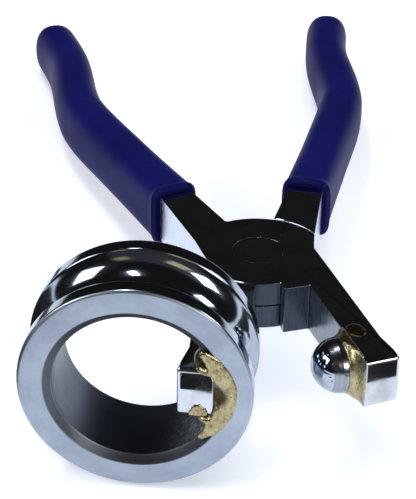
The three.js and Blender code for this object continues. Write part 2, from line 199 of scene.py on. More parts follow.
def tidy_mesh(obj, merge=0.001 * MM, outward=True):
    """Merges doubles, drops what has no size, and points the faces outwards."""
    work = bmesh.new()
    work.from_mesh(obj.data)
    bmesh.ops.remove_doubles(work, verts=work.verts, dist=merge)
    bmesh.ops.dissolve_degenerate(work, edges=work.edges, dist=merge)
    if outward:
        bmesh.ops.recalc_face_normals(work, faces=work.faces)
    work.to_mesh(obj.data)
    work.free()


def smooth_by_angle(obj, degrees):
    """Smooth shading that keeps edges sharper than an angle, and flat faces truly flat."""
    obj.data.shade_smooth()
    obj.data.set_sharp_from_angle(angle=math.radians(degrees))
    even = obj.modifiers.new("even_normals", "WEIGHTED_NORMAL")
    even.keep_sharp = True
    even.weight = 100  # only the largest faces count
    bake_modifiers(obj)


def hand_over(obj, body, nodes, material, tolerance=1.2 * MM):
    """Gives a finished piece its material and body, checks its box against the CAD nodes that it stands
    for, and hides those nodes.
    """
    obj.data.materials.clear()
    obj.data.materials.append(material)
    for node in nodes:
        check_fit(obj, node, tolerance)
    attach(obj, body)
    if nodes:
        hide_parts(*nodes)


def check_fit(obj, node, tolerance):
    """Stops if a piece's box is not where the frame has its node."""
    points = np.array([v.co for v in obj.data.vertices])
    low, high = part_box(node)
    off = max(
        float(np.abs(points.min(0) - np.array(low)).max()),
        float(np.abs(points.max(0) - np.array(high)).max()),
    )
    if off > tolerance:
        raise RuntimeError(f"{obj.name} is {off / MM:.2f} mm off {node}'s box")


def skin(name, rings, start, end):
    """A closed skin over matching rings of points, drawn in to a point at each end."""
    around = len(rings[0])
    points = [p for ring in rings for p in ring] + [start, end]
    faces = []
    for row in range(len(rings) - 1):
        for step in range(around):
            after = (step + 1) % around
            a, b = row * around + step, row * around + after
            faces.append((a, b, b + around, a + around))
    first, last = len(points) - 2, len(points) - 1
    base = (len(rings) - 1) * around
    for step in range(around):
        after = (step + 1) % around
        faces.append((first, after, step))
        faces.append((last, base + step, base + after))
    return mesh_object(name, points, faces)


def arc(centre, radius, start, end, steps):
    """Points on an arc, [x, y], angles in radians."""
    return [
        (
            centre[0] + radius * math.cos(start + (end - start) * i / steps),
            centre[1] + radius * math.sin(start + (end - start) * i / steps),
        )
        for i in range(steps + 1)
    ]


# ---- maker's frames ----


def turn(axis, angle):
    """A rotation about an axis, in radians."""
    return Matrix.Rotation(angle, 4, axis)


def lever_place(lower):
    """Where a lever drawn closed stands when the pliers rest a little open."""
    if lower:
        return MID_PLANE @ turn("Z", -HALF_OPENING) @ turn("Y", math.pi)
    return MID_PLANE @ turn("Z", HALF_OPENING)


JAW_ROOT_INNER = 6.3 * MM  # inner face from the centreline at the throat
TIP_INNER = {False: 7.0 * MM, True: 7.8 * MM}  # and at the tip: upper lever, lower lever
TIP_SLANT = 0.5 * MM
TIP_CORNER = 0.8 * MM
SHOULDER_STEP = 2.9 * MM
SHOULDER_SIDE = 0.15 * MM
JAW_WAIST_OUT = 13.9 * MM
WAIST_SETBACK = 9.2 * MM  # from the tip to where the jaw is narrowest
FLANK_CORNER = (13.4 * MM, -2.7 * MM)
FLANK_END = math.radians(12.3)
TANG_OUTER_ROOT = 13.3 * MM
TANG_INNER_ROOT = 3.3 * MM
# Centreline of a handle from the grip's mouth to its end: out from the pivot and along, in mm.
HANDLE_PATH = [(11.1, 33), (16.5, 64), (20.3, 88), (20.2, 102), (16.9, 127), (17.0, 151)]
TANG_IN_GRIP = 14 * MM  # the squared tang runs this far into the grip
RING_LEAN = math.radians(2.9)
RING_RISE = 0.5 * MM
RING_PROUD = 0.8 * MM
FORMING_GAP = 1.4 * MM
GROOVE_CLEARANCE = 0.3 * MM
RIVET_NECK, HEAD_DEPTH = 5 * MM, 1.6 * MM  # radius between the heads, and depth of a head
MANDREL = 10 * MM  # radius of the path that a profile is swept along
# How far along its own Y each part of a lever reaches.
GRIP_COVERS = 31 * MM
JAW_SIDE, THROAT_END, POLISHED_END = -8 * MM, -26 * MM, -50 * MM


def jaw_slope(tip_inner):
    """How far a jaw's inner face leans from the centreline."""
    levers = settings("plier_levers")
    front = levers.plate_radius + SHOULDER_STEP
    return math.atan2(tip_inner - JAW_ROOT_INNER, levers.jaw_length - front)


def seat_place(lower):
    """Origin on the jaw's inner face at the tip, +X away from the jaw, +Y towards the pivot."""
    tip = TIP_INNER[lower]
    levers = settings("plier_levers")
    seat = Matrix.Translation((tip, -levers.jaw_length, 0))
    return lever_place(lower) @ seat @ turn("Z", jaw_slope(tip)) @ turn("Y", math.pi)


def ring_figures():
    """Radii, half width, seat and setback of the groove ring, all following from its few sizes."""
    sizes = settings("plier_turned")
    groove = sizes.dome_radius + GROOVE_CLEARANCE
    half_opening = math.sqrt(groove**2 - (groove - sizes.groove_depth) ** 2)
    half_width = half_opening + sizes.flange
    return {
        "groove": groove,
        "half_opening": half_opening,
        "outer": sizes.bore_radius + sizes.ring_wall + sizes.groove_depth,
        "half_width": half_width,
        "seat": math.sqrt(sizes.bore_radius**2 - HALF_THICKNESS**2),
        "setback": half_width - RING_PROUD,
    }


def ring_place():
    """Origin at the ring's middle, +Y along its axis towards the pivot."""
    figures = ring_figures()
    seat = Matrix.Translation((-figures["seat"], figures["setback"], RING_RISE))
    return seat_place(True) @ seat @ turn("X", RING_LEAN)


def dome_place():
    """Origin on the jaw's inner face under the stud, +Z along the stud, towards its nose."""
    foot = Matrix.Translation((0, ring_figures()["setback"], 0))
    return seat_place(False) @ foot @ turn("Y", math.pi / 2)


def dome_skirt():
    """Straight part of the stud below its nose."""
    sizes = settings("plier_turned")
    figures = ring_figures()
    apart = sum(tip - figures["setback"] * math.tan(jaw_slope(tip)) for tip in TIP_INNER.values())
    floor = sizes.bore_radius + sizes.ring_wall - figures["seat"]
    return apart - floor - FORMING_GAP - sizes.dome_radius


# ---- nodes ----


# The nodes used most: the type, its setting, the inputs in order and the output.
MATH, VECTOR_MATH = "ShaderNodeMath", "ShaderNodeVectorMath"
OFTEN = {
    "multiply": (MATH, {"operation": "MULTIPLY"}, (0, 1), 0),
    "subtract": (MATH, {"operation": "SUBTRACT"}, (0, 1), 0),
    "multiply_add": (MATH, {"operation": "MULTIPLY_ADD"}, (0, 1, 2), 0),
    "maximum": (MATH, {"operation": "MAXIMUM"}, (0, 1), 0),
    "divide": (MATH, {"operation": "DIVIDE"}, (0, 1), 0),
    "absolute": (MATH, {"operation": "ABSOLUTE"}, (0,), 0),
    "sqrt": (MATH, {"operation": "SQRT"}, (0,), 0),
    "distance": (VECTOR_MATH, {"operation": "DISTANCE"}, (0, 1), "Value"),
    "stretch": (VECTOR_MATH, {"operation": "MULTIPLY"}, (0, 1), 0),
    "scale": (VECTOR_MATH, {"operation": "SCALE"}, (0, "Scale"), 0),
    "where": ("ShaderNodeTexCoord", {}, (), "Object"),
    "mark": ("ShaderNodeAttribute", {}, (), "Fac"),
    "mix": ("ShaderNodeMix", {"data_type": "RGBA"}, (0, 6, 7), 2),
    "fade": ("ShaderNodeMapRange", {"interpolation_type": "SMOOTHSTEP"}, range(5), 0),
    "bump": ("ShaderNodeBump", {}, ("Height", "Distance", "Strength"), 0),
}


def add(tree, kind, *values, inputs=None, **options):
    """Adds a node with its settings, and its inputs as values or as links from other sockets.

    Gives the node, or for a kind in OFTEN, which takes its inputs in order, its output.
    """
    label, preset, order, out = OFTEN.get(kind, (kind, {}, (), None))
    made = tree.nodes.new(label)
    for key, value in {**preset, **options}.items():
        setattr(made, key, value)
    for key, value in [*zip(order, values), *(inputs or {}).items()]:
        if isinstance(value, bpy.types.NodeSocket):
            tree.links.new(value, made.inputs[key])
        else:
            made.inputs[key].default_value = value
    return made if out is None else made.outputs[out]


def geometry_tree(name, sockets):
    """A Geometry Nodes tree with a geometry input and the given named inputs."""
    tree = bpy.data.node_groups.new(name, "GeometryNodeTree")
    tree.interface.new_socket("Geometry", in_out="INPUT", socket_type="NodeSocketGeometry")
    for label, kind, value in sockets:
        socket = tree.interface.new_socket(label, in_out="INPUT", socket_type=kind)
        if value is not None:
            socket.default_value = value
    tree.interface.new_socket("Geometry", in_out="OUTPUT", socket_type="NodeSocketGeometry")
    return tree, add(tree, "NodeGroupInput").outputs


def close_tree(tree, geometry, material):
    """Ends a tree with plain geometry that has its material."""
    real = add(tree, "GeometryNodeRealizeInstances", inputs={"Geometry": geometry})
    coated = add(
        tree, "GeometryNodeSetMaterial", inputs={"Geometry": real.outputs[0], "Material": material}
    )
    add(tree, "NodeGroupOutput", inputs={"Geometry": coated.outputs[0]})


def run_tree(obj, tree, values):
    """Puts a tree on obj with its inputs set by identifier, and bakes the result into its mesh."""
    known = {
        item.name: item.identifier
        for item in tree.interface.items_tree
        if item.item_type == "SOCKET" and item.in_out == "INPUT"
    }
    modifier = obj.modifiers.new(tree.name, "NODES")
    modifier.node_group = tree
    for label, value in values.items():
        modifier[known[label]] = value
    return bake_modifiers(obj)


def turning_tree():
    """Turns a profile about Z, as a lathe does. The profile's X is radius and its Y is -height."""
    tree, given = geometry_tree(
        "turned_on_lathe",
        [
            ("Sides", "NodeSocketInt", 96),
            ("Mandrel", "NodeSocketFloat", MANDREL),
            ("Material", "NodeSocketMaterial", None),
        ],
    )
    profile = add(tree, "GeometryNodeMeshToCurve", inputs={"Mesh": given["Geometry"]})
    path = add(
        tree,
        "GeometryNodeCurvePrimitiveCircle",
        inputs={"Resolution": given["Sides"], "Radius": given["Mandrel"]},
        mode="RADIUS",
    )
    upright = add(
        tree, "GeometryNodeSetCurveNormal", inputs={"Curve": path.outputs["Curve"]}, mode="Z_UP"
    )
    swept = add(
        tree,
        "GeometryNodeCurveToMesh",
        inputs={"Curve": upright.outputs["Curve"], "Profile Curve": profile.outputs["Curve"]},
    )
    joined = add(
        tree,
        "GeometryNodeMergeByDistance",
        inputs={"Geometry": swept.outputs["Mesh"], "Distance": 0.002 * MM},
    )
    close_tree(tree, joined.outputs["Geometry"], given["Material"])
    return tree


def turned(name, profile, closed, sides, place, material):
    """A turned piece from [radius, height] points, placed in the frame."""
    points = [(radius - MANDREL, -height, 0) for radius, height in profile]
    count = len(points)
    edges = [(i, (i + 1) % count) for i in range(count if closed else count - 1)]
    made = mesh_object(name, points, edges=edges)
    tree = bpy.data.node_groups.get("turned_on_lathe") or turning_tree()
    run_tree(made, tree, {"Sides": sides, "Mandrel": MANDREL, "Material": material})
    tidy_mesh(made)
    made.data.transform(place)
    return made


def pouring_tree():
    """Raises frozen ripples on a poured surface, along its normals."""
    tree, given = geometry_tree(
        "poured_braze",
        [
            ("Ripple", "NodeSocketFloat", 0.3 * MM),
            ("Span", "NodeSocketFloat", 2 * MM),
            ("Swell", "NodeSocketFloat", 0.3 * MM),
            ("Seed", "NodeSocketInt", 0),
            ("Material", "NodeSocketMaterial", None),
        ],
    )
    rate = add(tree, "divide", 1.0, given["Span"])
    wave = add(
        tree,
        "ShaderNodeTexNoise",
        inputs={"W": given["Seed"], "Scale": rate, "Detail": 3.0, "Roughness": 0.55},
        noise_dimensions="4D",
    )
    level = add(tree, "subtract", wave.outputs[0], 0.5)
    raised = add(tree, "multiply_add", level, given["Ripple"], given["Swell"])
    normal = add(tree, "GeometryNodeInputNormal").outputs[0]
    push = add(tree, "scale", normal, raised)
    moved = add(
        tree,
        "GeometryNodeSetPosition",
        inputs={"Geometry": given["Geometry"], "Offset": push},
    )
    close_tree(tree, moved.outputs["Geometry"], given["Material"])
    return tree


# ---- finishes ----


def srgb(text):
    """An sRGB hex colour as linear RGBA."""
    levels = [int(text[i : i + 2], 16) / 255 for i in (1, 3, 5)]
    return (*[c / 12.92 if c <= 0.04045 else ((c + 0.055) / 1.055) ** 2.4 for c in levels], 1)


def new_finish(name, roughness, metallic):
    """A material with only a shader, its node tree and that shader."""
    material = bpy.data.materials.new(name)
    material.use_nodes = True
    tree = material.node_tree
    tree.nodes.clear()
    shader = add(
        tree, "ShaderNodeBsdfPrincipled", inputs={"Roughness": roughness, "Metallic": metallic}
    )
    add(tree, "ShaderNodeOutputMaterial", inputs={"Surface": shader.outputs[0]})
    return material, tree, shader


def stretched_noise(tree, coordinate, spacing, detail, rough):
    """Noise whose grain is spacing wide on each axis, in metres; a long axis makes streaks."""
    scaled = add(tree, "stretch", coordinate, tuple(1 / step for step in spacing))
    noise = add(
        tree,
        "ShaderNodeTexNoise",
        inputs={"Vector": scaled, "Scale": 1.0, "Detail": detail, "Roughness": rough},
    )
    return noise.outputs[0]


def specks(tree, where, spacing, core, rim):
    """Small round marks about spacing apart; core and rim are parts of that spacing."""
    cells = add(
        tree,
        "ShaderNodeTexVoronoi",
        inputs={"Vector": where, "Scale": 1 / spacing, "Randomness": 1.0},
    )
    return add(tree, "fade", cells.outputs["Distance"], core, rim, 1.0, 0.0)


def stained_and_shaded(tree, base, *stains_and_shades):
    """Lays stains and painted shade over a colour: a mask, its strength and its sRGB hex for each."""
    for mask, strength, tint in stains_and_shades:
        base = add(tree, "mix", add(tree, "multiply", mask, strength), base, srgb(tint))
    return base


def polished_flats(tree, where):
    """Grain that polishing left along the lever, the film of handling, and the two's colour."""
    grain = stretched_noise(tree, where, (0.3 * MM, 14 * MM, 6 * MM), 3, 0.6)
    # Handling leaves a thin film in patches a finger wide.
    film = add(tree, "fade", stretched_noise(tree, where, (9 * MM,) * 3, 4, 0.6), 0.42, 0.72)
    clean = srgb(settings("plier_colours").steel)
    return grain, film, add(tree, "mix", film, clean, srgb("#A8A9AB"))


def wire(tree, shader, colour, rough, relief, depth, strength):
    """Gives a finish its colour, its roughness and a relief as deep as depth, in metres."""
    normal = add(tree, "bump", relief, depth, strength)
    for label, value in (("Base Color", colour), ("Roughness", rough), ("Normal", normal)):
        tree.links.new(value, shader.inputs[label])


def forged_steel_finish():
    """Drop-forged carbon steel: flats polished to a near mirror, sides ground upright to a satin."""
    colours = settings("plier_colours")
    material, tree, shader = new_finish("polished_forged_steel", 0.1, 1.0)
    where = add(tree, "where")
    facing = add(tree, "ShaderNodeTexCoord").outputs["Normal"]
    up = add(tree, "ShaderNodeSeparateXYZ", inputs={0: facing}).outputs["Z"]
    polish = add(tree, "mark", attribute_name="polish")
    flat = add(tree, "fade", add(tree, "absolute", up), 0.55, 0.9)
    flat = add(tree, "maximum", flat, polish)
    # Grinding marks are about 0.1 mm apart; drawn at 0.35 mm so that they show.
    upright = stretched_noise(tree, where, (0.35 * MM, 0.35 * MM, 12 * MM), 3, 0.65)
    lengthwise, film, top = polished_flats(tree, where)
    grain = add(tree, "mix", flat, upright, lengthwise)
    pit = specks(tree, where, 3.2 * MM, 0.045, 0.08)
    side = add(tree, "mix", grain, srgb("#B2BCCB"), srgb(colours.ground))
    # Painted shade, not scale: the throat and the jaws' inner faces are drawn dark, as the shade that
    # falls between the jaws.
    scale = add(tree, "mix", grain, srgb("#2B3037"), srgb("#4A515B"))
    side = add(tree, "mix", add(tree, "mark", attribute_name="painted_shade"), side, scale)
    base = add(tree, "mix", flat, side, top)
    base = add(tree, "mix", pit, base, srgb("#3A3532"))
    polished = add(tree, "fade", film, 0.0, 1.0, 0.06, 0.12)
    satin = add(tree, "fade", grain, 0.3, 0.7, 0.2, 0.34)
    rough = add(tree, "mix", flat, satin, polished)
    rough = add(tree, "multiply_add", polish, -0.04, rough)
    relief = add(tree, "multiply", grain, add(tree, "fade", flat, 0, 1, 1.0, 0.12))
    relief = add(tree, "subtract", relief, pit)
    wire(tree, shader, base, rough, relief, 0.02 * MM, 0.6)
    return material


def lathe_coordinates(tree, place):
    """Coordinates of a turned piece placed by a matrix, and the radius from its axis."""
    where = add(tree, "where")
    unplaced = {"Location": place.to_translation(), "Rotation": place.to_euler("XYZ")}
    local = add(
        tree, "ShaderNodeMapping", inputs={"Vector": where, **unplaced}, vector_type="TEXTURE"
    ).outputs[0]
    parts = add(tree, "ShaderNodeSeparateXYZ", inputs={0: local}).outputs
    square = add(tree, "multiply", parts["X"], parts["X"])
    radius = add(tree, "sqrt", add(tree, "multiply_add", parts["Y"], parts["Y"], square))
    return where, local, parts, radius


def turning_marks(tree, radius, height, pitch):
    """Rings left by the tool: noise that changes across the cut and not round it."""
    cut = add(tree, "ShaderNodeCombineXYZ", inputs={"X": radius, "Y": height}).outputs[0]
    return stretched_noise(tree, cut, (pitch,) * 3, 3, 0.7)


def ring_finish(place):
    """Turned tool steel: faced satin ends, a groove polished for forming, heat oxide in the bore near the
    jaw, and painted shade round the bore and its chamfer.
    """
    colours, figures = settings("plier_colours"), ring_figures()
    half, bore = figures["half_width"], settings("plier_turned").bore_radius
    material, tree, shader = new_finish("turned_tool_steel", 0.25, 1.0)
    where, local, parts, radius = lathe_coordinates(tree, place)
    # The feed is about 0.15 mm a turn; drawn at 0.3 mm so that it shows.
    marks = turning_marks(tree, radius, parts["Z"], 0.3 * MM)
    cloud = stretched_noise(tree, where, (7 * MM,) * 3, 4, 0.6)
    grit = stretched_noise(tree, where, (0.9 * MM,) * 3, 4, 0.7)
    across = add(tree, "absolute", parts["Z"])
    inboard = add(tree, "fade", across, half - 0.7 * MM, half - 0.2 * MM, 1, 0)
    outside = add(tree, "fade", radius, bore + 1.5 * MM, bore + 2.4 * MM)
    polished = add(tree, "multiply", inboard, outside)
    # Painted shade: the bore and its chamfer are drawn darker all round, as the shade inside the hole.
    in_bore = add(tree, "fade", radius, bore + 0.05 * MM, bore + 0.35 * MM, 1, 0)
    chamfer = add(tree, "fade", radius, bore + 1.7 * MM, bore + 2.15 * MM, 1, 0)
    chamfer = add(tree, "subtract", chamfer, in_bore, use_clamp=True)
    # The torch heated the side next to the jaw, so the oxide is thickest there.
    heated = add(tree, "distance", local, (figures["seat"], 0, 0))
    near = add(tree, "fade", heated, 12 * MM, 26 * MM, 1.0, 0.0)
    sooty = add(tree, "multiply", near, add(tree, "fade", grit, 0.38, 0.62))
    burn = add(tree, "multiply", sooty, add(tree, "maximum", in_bore, chamfer))
    patches = add(tree, "fade", cloud, 0.3, 0.7)
    face = add(tree, "mix", patches, srgb(colours.turned), srgb("#949EAD"))
    base = stained_and_shaded(
        tree,
        face,
        (marks, 0.18, "#7C8494"),
        # The bore's and the chamfer's colours are painted shade; the burn is heat oxide.
        (in_bore, 0.85, "#474D58"),
        (chamfer, 0.85, "#3A3C40"),
        (burn, 0.85, colours.scale),
    )
    satin = add(tree, "fade", marks, 0.25, 0.75, 0.32, 0.42)
    mirror = add(tree, "fade", cloud, 0.2, 0.8, 0.08, 0.13)
    rough = add(tree, "mix", polished, satin, mirror)
    rough = add(tree, "multiply_add", burn, 0.3, rough)
    relief = add(tree, "multiply", marks, add(tree, "fade", polished, 0, 1, 1.0, 0.12))
    relief = add(tree, "multiply_add", add(tree, "multiply", grit, burn), 2.0, relief)
    wire(tree, shader, base, rough, relief, 0.02 * MM, 0.3)
    return material


def dome_finish(place):
    """Turned and polished tool steel, with tool rings left where the nose meets the skirt; their dark
    colour is partly a painted reflection.
    """
    colours = settings("plier_colours")
    material, tree, shader = new_finish("polished_dome_steel", 0.1, 1.0)
    where, _, parts, radius = lathe_coordinates(tree, place)
    # The feed is about 0.1 mm a turn; drawn at 0.28 mm so that it shows.
    marks = turning_marks(tree, radius, parts["Z"], 0.28 * MM)
    skirt = dome_skirt()
    low = add(tree, "fade", parts["Z"], skirt + 3.0 * MM, skirt + 3.3 * MM, 1.0, 0.0)
    pit = specks(tree, where, 2.6 * MM, 0.09, 0.14)
    # Partly painted reflection: the tool marks near the skirt are real, and their dark colour stands for
    # the dark bands that the steel reflects there.
    cut = add(tree, "multiply", marks, low)
    base = add(tree, "mix", cut, srgb(colours.turned), srgb("#6E6A66"))
    base = stained_and_shaded(tree, base, (pit, 0.8, "#2A2624"))
    rough = add(tree, "multiply_add", low, 0.14, 0.07)
    relief = add(tree, "multiply", marks, add(tree, "fade", low, 0, 1, 0.1, 1.0))
    relief = add(tree, "subtract", relief, add(tree, "multiply", pit, 2.0))
    wire(tree, shader, base, rough, relief, 0.025 * MM, 0.7)
    return material


def rivet_finish():
    """Mild steel rivet, set and then ground flush with the flats."""
    material, tree, shader = new_finish("flush_rivet_steel", 0.12, 1.0)
    grain, film, base = polished_flats(tree, add(tree, "where"))
    rough = add(tree, "fade", film, 0.0, 1.0, 0.08, 0.17)
    wire(tree, shader, base, rough, grain, 0.02 * MM, 0.1)
    return material


def braze_finish(name, bright, deep):
    """Silicon-bronze braze: pale gold where it froze bright, amber in the hollows, burnt flux, and
    painted shade in the hollow beside the lower jaw.
    """
    material, tree, shader = new_finish(name, 0.3, 1.0)
    where = add(tree, "where")
    flow = stretched_noise(tree, where, (1.3 * MM, 1.3 * MM, 2.2 * MM), 5, 0.7)
    fine = stretched_noise(tree, where, (0.32 * MM,) * 3, 3, 0.7)
    bloom = stretched_noise(tree, where, (3.5 * MM,) * 3, 3, 0.55)
    pore = specks(tree, where, 1.5 * MM, 0.08, 0.15)
    base = add(tree, "mix", add(tree, "fade", flow, 0.38, 0.76), srgb(bright), srgb(deep))
    # Painted shade: the hollow beside the lower jaw is drawn near black, as the shade inside it.
    figures = ring_figures()
    hollow = ring_place() @ Vector((figures["seat"] + 0.6 * MM, -figures["half_width"], 0))
    away = add(tree, "distance", where, hollow)
    away = add(tree, "multiply_add", flow, 1.6 * MM, away)
    painted_hollow_shade = add(tree, "fade", away, 2.4 * MM, 4.2 * MM, 0.92, 0.0)
    base = add(tree, "mix", painted_hollow_shade, base, srgb("#2A1C0C"))
    bloomed = add(tree, "fade", bloom, 0.66, 0.8)
    flux = settings("plier_colours").flux
    base = stained_and_shaded(tree, base, (bloomed, 0.6, flux), (pore, 0.7, "#2C1A0E"))
    rough = add(tree, "fade", fine, 0.25, 0.75, 0.18, 0.36)
    relief = add(tree, "multiply_add", fine, 0.4, flow)
    relief = add(tree, "subtract", relief, add(tree, "multiply", pore, 0.6))
    wire(tree, shader, base, rough, relief, 0.1 * MM, 0.8)
    return material


def vinyl_finish():
    """Plastisol vinyl, dipped and cured: satin, faintly orange-peeled, deeper where it is thick."""
    colours = settings("plier_colours")
    material, tree, shader = new_finish("dipped_plastisol_vinyl", 0.42, 0.0)
    shader.inputs["IOR"].default_value = 1.53
    shader.inputs["Specular IOR Level"].default_value = 0.035
    where = add(tree, "where")
    cloud = stretched_noise(tree, where, (14 * MM, 22 * MM, 14 * MM), 3, 0.5)
    peel = stretched_noise(tree, where, (0.9 * MM,) * 3, 2, 0.5)
    dust = specks(tree, where, 4.5 * MM, 0.03, 0.05)
    lip = add(tree, "mark", attribute_name="lip")
    patches = add(tree, "fade", cloud, 0.3, 0.7)
    base = add(tree, "mix", patches, srgb(colours.vinyl), srgb("#101049"))
    base = stained_and_shaded(tree, base, (dust, 0.25, "#5A5C9C"))
    base = add(tree, "mix", lip, base, srgb(colours.vinyl_deep))
    rough = add(tree, "fade", cloud, 0.2, 0.8, 0.42, 0.54)
    wire(tree, shader, base, rough, peel, 0.03 * MM, 0.35)
    return material


def floor_finish():
    """Matt white acrylic bench top, lit a little from below."""
    colours, look = settings("plier_colours"), settings("plier_stage")
    material, tree, shader = new_finish("matt_acrylic_top", 0.9, 0.0)
    cloud = stretched_noise(tree, add(tree, "where"), (90 * MM,) * 3, 3, 0.5)
    base = add(tree, "mix", cloud, srgb(colours.floor), srgb("#EEF1F6"))
    tree.links.new(base, shader.inputs["Base Color"])
    shader.inputs["Emission Color"].default_value = srgb("#F3F7FF")
    shader.inputs["Emission Strength"].default_value = look.glow
    shader.inputs["Specular IOR Level"].default_value = 0.2
    return material


# ---- levers ----


def catmull(points, samples):
    """Points and distances along a Catmull-Rom curve through the given plan points."""
    ends = [
        tuple(2 * a - b for a, b in zip(points[0], points[1])),
        tuple(2 * a - b for a, b in zip(points[-1], points[-2])),
    ]
    knots = [ends[0], *points, ends[1]]
    made = []
    for k in range(1, len(knots) - 2):
        for i in range(samples):
            t = i / samples
            spot = []
            for a, b, c, d in zip(*knots[k - 1 : k + 3]):
                square, cube = 2 * a - 5 * b + 4 * c - d, 3 * b - a - 3 * c + d
                spot.append(0.5 * (2 * b + (c - a) * t + square * t**2 + cube * t**3))
            made.append(Vector(spot))
    made.append(Vector(knots[-2]))
    run = [0.0]
    for a, b in zip(made, made[1:]):
        run.append(run[-1] + (b - a).length)
    return made, run


HANDLE_LINE, HANDLE_RUN = catmull([(-x * MM, y * MM) for x, y in HANDLE_PATH], 60)


def on_handle(distance):
    """Centre and direction of the handle's line at a distance from the grip's mouth."""
    total = HANDLE_RUN[-1]
    held = min(max(distance, 0.0), total)
    k = min(int(np.searchsorted(HANDLE_RUN, held, side="right")) - 1, len(HANDLE_LINE) - 2)
    share = (held - HANDLE_RUN[k]) / (HANDLE_RUN[k + 1] - HANDLE_RUN[k])
    along = (HANDLE_LINE[k + 1] - HANDLE_LINE[k]).normalized()
    return HANDLE_LINE[k].lerp(HANDLE_LINE[k + 1], share) + along * (distance - held), along


def handle_ring(distance, half_width, half_height, squareness, sides):
    """A superellipse section across the handle."""
    centre, along = on_handle(distance)
    across = Vector((-along.y, along.x))
    ring = []
    for step in range(sides):
        angle = 2 * math.pi * (step + 0.5) / sides
        u, v = math.cos(angle), math.sin(angle)
        reach = (abs(u) ** squareness + abs(v) ** squareness) ** (-1 / squareness)
        spot = centre + across * (half_width * reach * u)
        ring.append(Vector((spot.x, spot.y, half_height * reach * v)))
    return ring


def lever_outline(lower):
    """Plan outline of jaw, shoulder, lap plate and tang, run on into the grip."""
    levers = settings("plier_levers")
    radius, tip_y, tip = levers.plate_radius, -levers.jaw_length, TIP_INNER[lower]
    front = radius + SHOULDER_STEP
    outer = (tip + levers.jaw_width, tip_y + TIP_SLANT)
    inner_root = math.acos(-TANG_INNER_ROOT / radius)
    outer_root = 2 * math.pi - math.acos(-TANG_OUTER_ROOT / radius)
    shoulder = 2 * math.pi - math.acos(SHOULDER_SIDE / radius)
    points = [(SHOULDER_SIDE, -front), (JAW_ROOT_INNER, -front), (tip, tip_y)]
    points += arc((outer[0] - TIP_CORNER, outer[1] + TIP_CORNER), TIP_CORNER, -math.pi / 2, 0, 6)
    points += [(JAW_WAIST_OUT, tip_y + WAIST_SETBACK), FLANK_CORNER]
    points += arc((0, 0), radius, FLANK_END, inner_root, 44)
    half = levers.tang_width / 2
    sides = [-LAP_GAP, TANG_IN_GRIP / 2, TANG_IN_GRIP]
    for side, order in ((-1, sides), (1, sides[::-1])):
        for distance in order:
            centre, along = on_handle(distance)
            points.append(tuple(centre + Vector((-along.y, along.x)) * side * half))
    points.append((-TANG_OUTER_ROOT, radius / 2))
    points += arc((0, 0), radius, outer_root, shoulder, 30)
    return points


def prism(name, outline, low, high):
    """A plate of an outline's shape between two heights."""
    count = len(outline)
    points = [(x, y, z) for z in (low, high) for x, y in outline]
    faces = [tuple(reversed(range(count))), tuple(range(count, 2 * count))]
    for i in range(count):
        after = (i + 1) % count
        faces.append((i, after, count + after, count + i))
    return mesh_object(name, points, faces)


def circle(radius, height, sides):
    """Points round the Z axis."""
    angles = [2 * math.pi * i / sides for i in range(sides)]
    return [Vector((radius * math.cos(a), radius * math.sin(a), height)) for a in angles]


def cutter(name, profile, sides):
    """A turned tool about Z from [radius, height] points that start and end on the axis."""
    rings = [circle(radius, height, sides) for radius, height in profile[1:-1]]
    made = skin(name, rings, Vector((0, 0, profile[0][1])), Vector((0, 0, profile[-1][1])))
    tidy_mesh(made)
    return made


def combine(obj, other, operation):
    """Joins or cuts obj with another body, which is used up."""
    modifier = obj.modifiers.new(operation.lower(), "BOOLEAN")
    modifier.operation = operation
    modifier.solver = "EXACT"
    modifier.object = other
    bake_modifiers(obj)
    discard(other)


def bore_profile(radius, clearance):
    """[radius, height] of the rivet's hole: a neck between two recesses for its heads."""
    half, head = HALF_THICKNESS, radius + clearance
    neck = RIVET_NECK + clearance
    return [
        (0, -2 * half),
        (head, -2 * half),
        (head, -half),
        (neck, -half + HEAD_DEPTH),
        (neck, half - HEAD_DEPTH),
        (head, half),
        (head, 2 * half),
        (0, 2 * half),
    ]


def ring_sweep(clearance):
    """The space the ring takes, to grind the jaw's edges back from it."""
    figures = ring_figures()
    outer, end = figures["outer"], figures["half_width"] + clearance
    bore = settings("plier_turned").bore_radius - clearance
    sides = 160
    section = ((bore, -end), (outer, -end), (outer, end), (bore, end))
    points = [spot for radius, height in section for spot in circle(radius, height, sides)]
    faces = []
    for row in range(len(section)):
        for step in range(sides):
            a, b = row * sides + step, row * sides + (step + 1) % sides
            c, d = (a + sides) % len(points), (b + sides) % len(points)
            faces.append((a, b, d, c))
    made = mesh_object("ring_sweep", points, faces)
    tidy_mesh(made)
    return made


def edge_weights(mesh, sharp_degrees):
    """Bevel weights: full at the jaw's end, less elsewhere, a hair round the rivet, none in the grip."""
    levers = settings("plier_levers")
    widest = levers.tip_edge
    work = bmesh.new()
    work.from_mesh(mesh)
    layer = work.edges.layers.float.new("bevel_weight_edge")
    rivet = settings("plier_turned").rivet_radius + 0.5 * MM
    tip_zone = -levers.jaw_length + 1.6 * MM
    for edge in work.edges:
        if len(edge.link_faces) != 2 or edge.calc_face_angle(0) < math.radians(sharp_degrees):
            continue
        a, b = edge.verts[0].co, edge.verts[1].co
        if max(a.y, b.y) > GRIP_COVERS:
            width = 0.0
        elif max(a.xy.length, b.xy.length) < rivet:
            width = levers.rivet_edge
        elif max(a.y, b.y) < tip_zone and abs(a.z + b.z) > THICKNESS * 0.9:
            width = levers.tip_edge
        elif max(abs(a.z), abs(b.z)) < 1 * MM:
            # The lap's own step, whose shortest edges stay as they are.
            width = 0.1 * MM if edge.calc_length() > 0.3 * MM else 0.0
        else:
            width = levers.edge
        edge[layer] = width / widest
    work.to_mesh(mesh)
    work.free()
    return widest


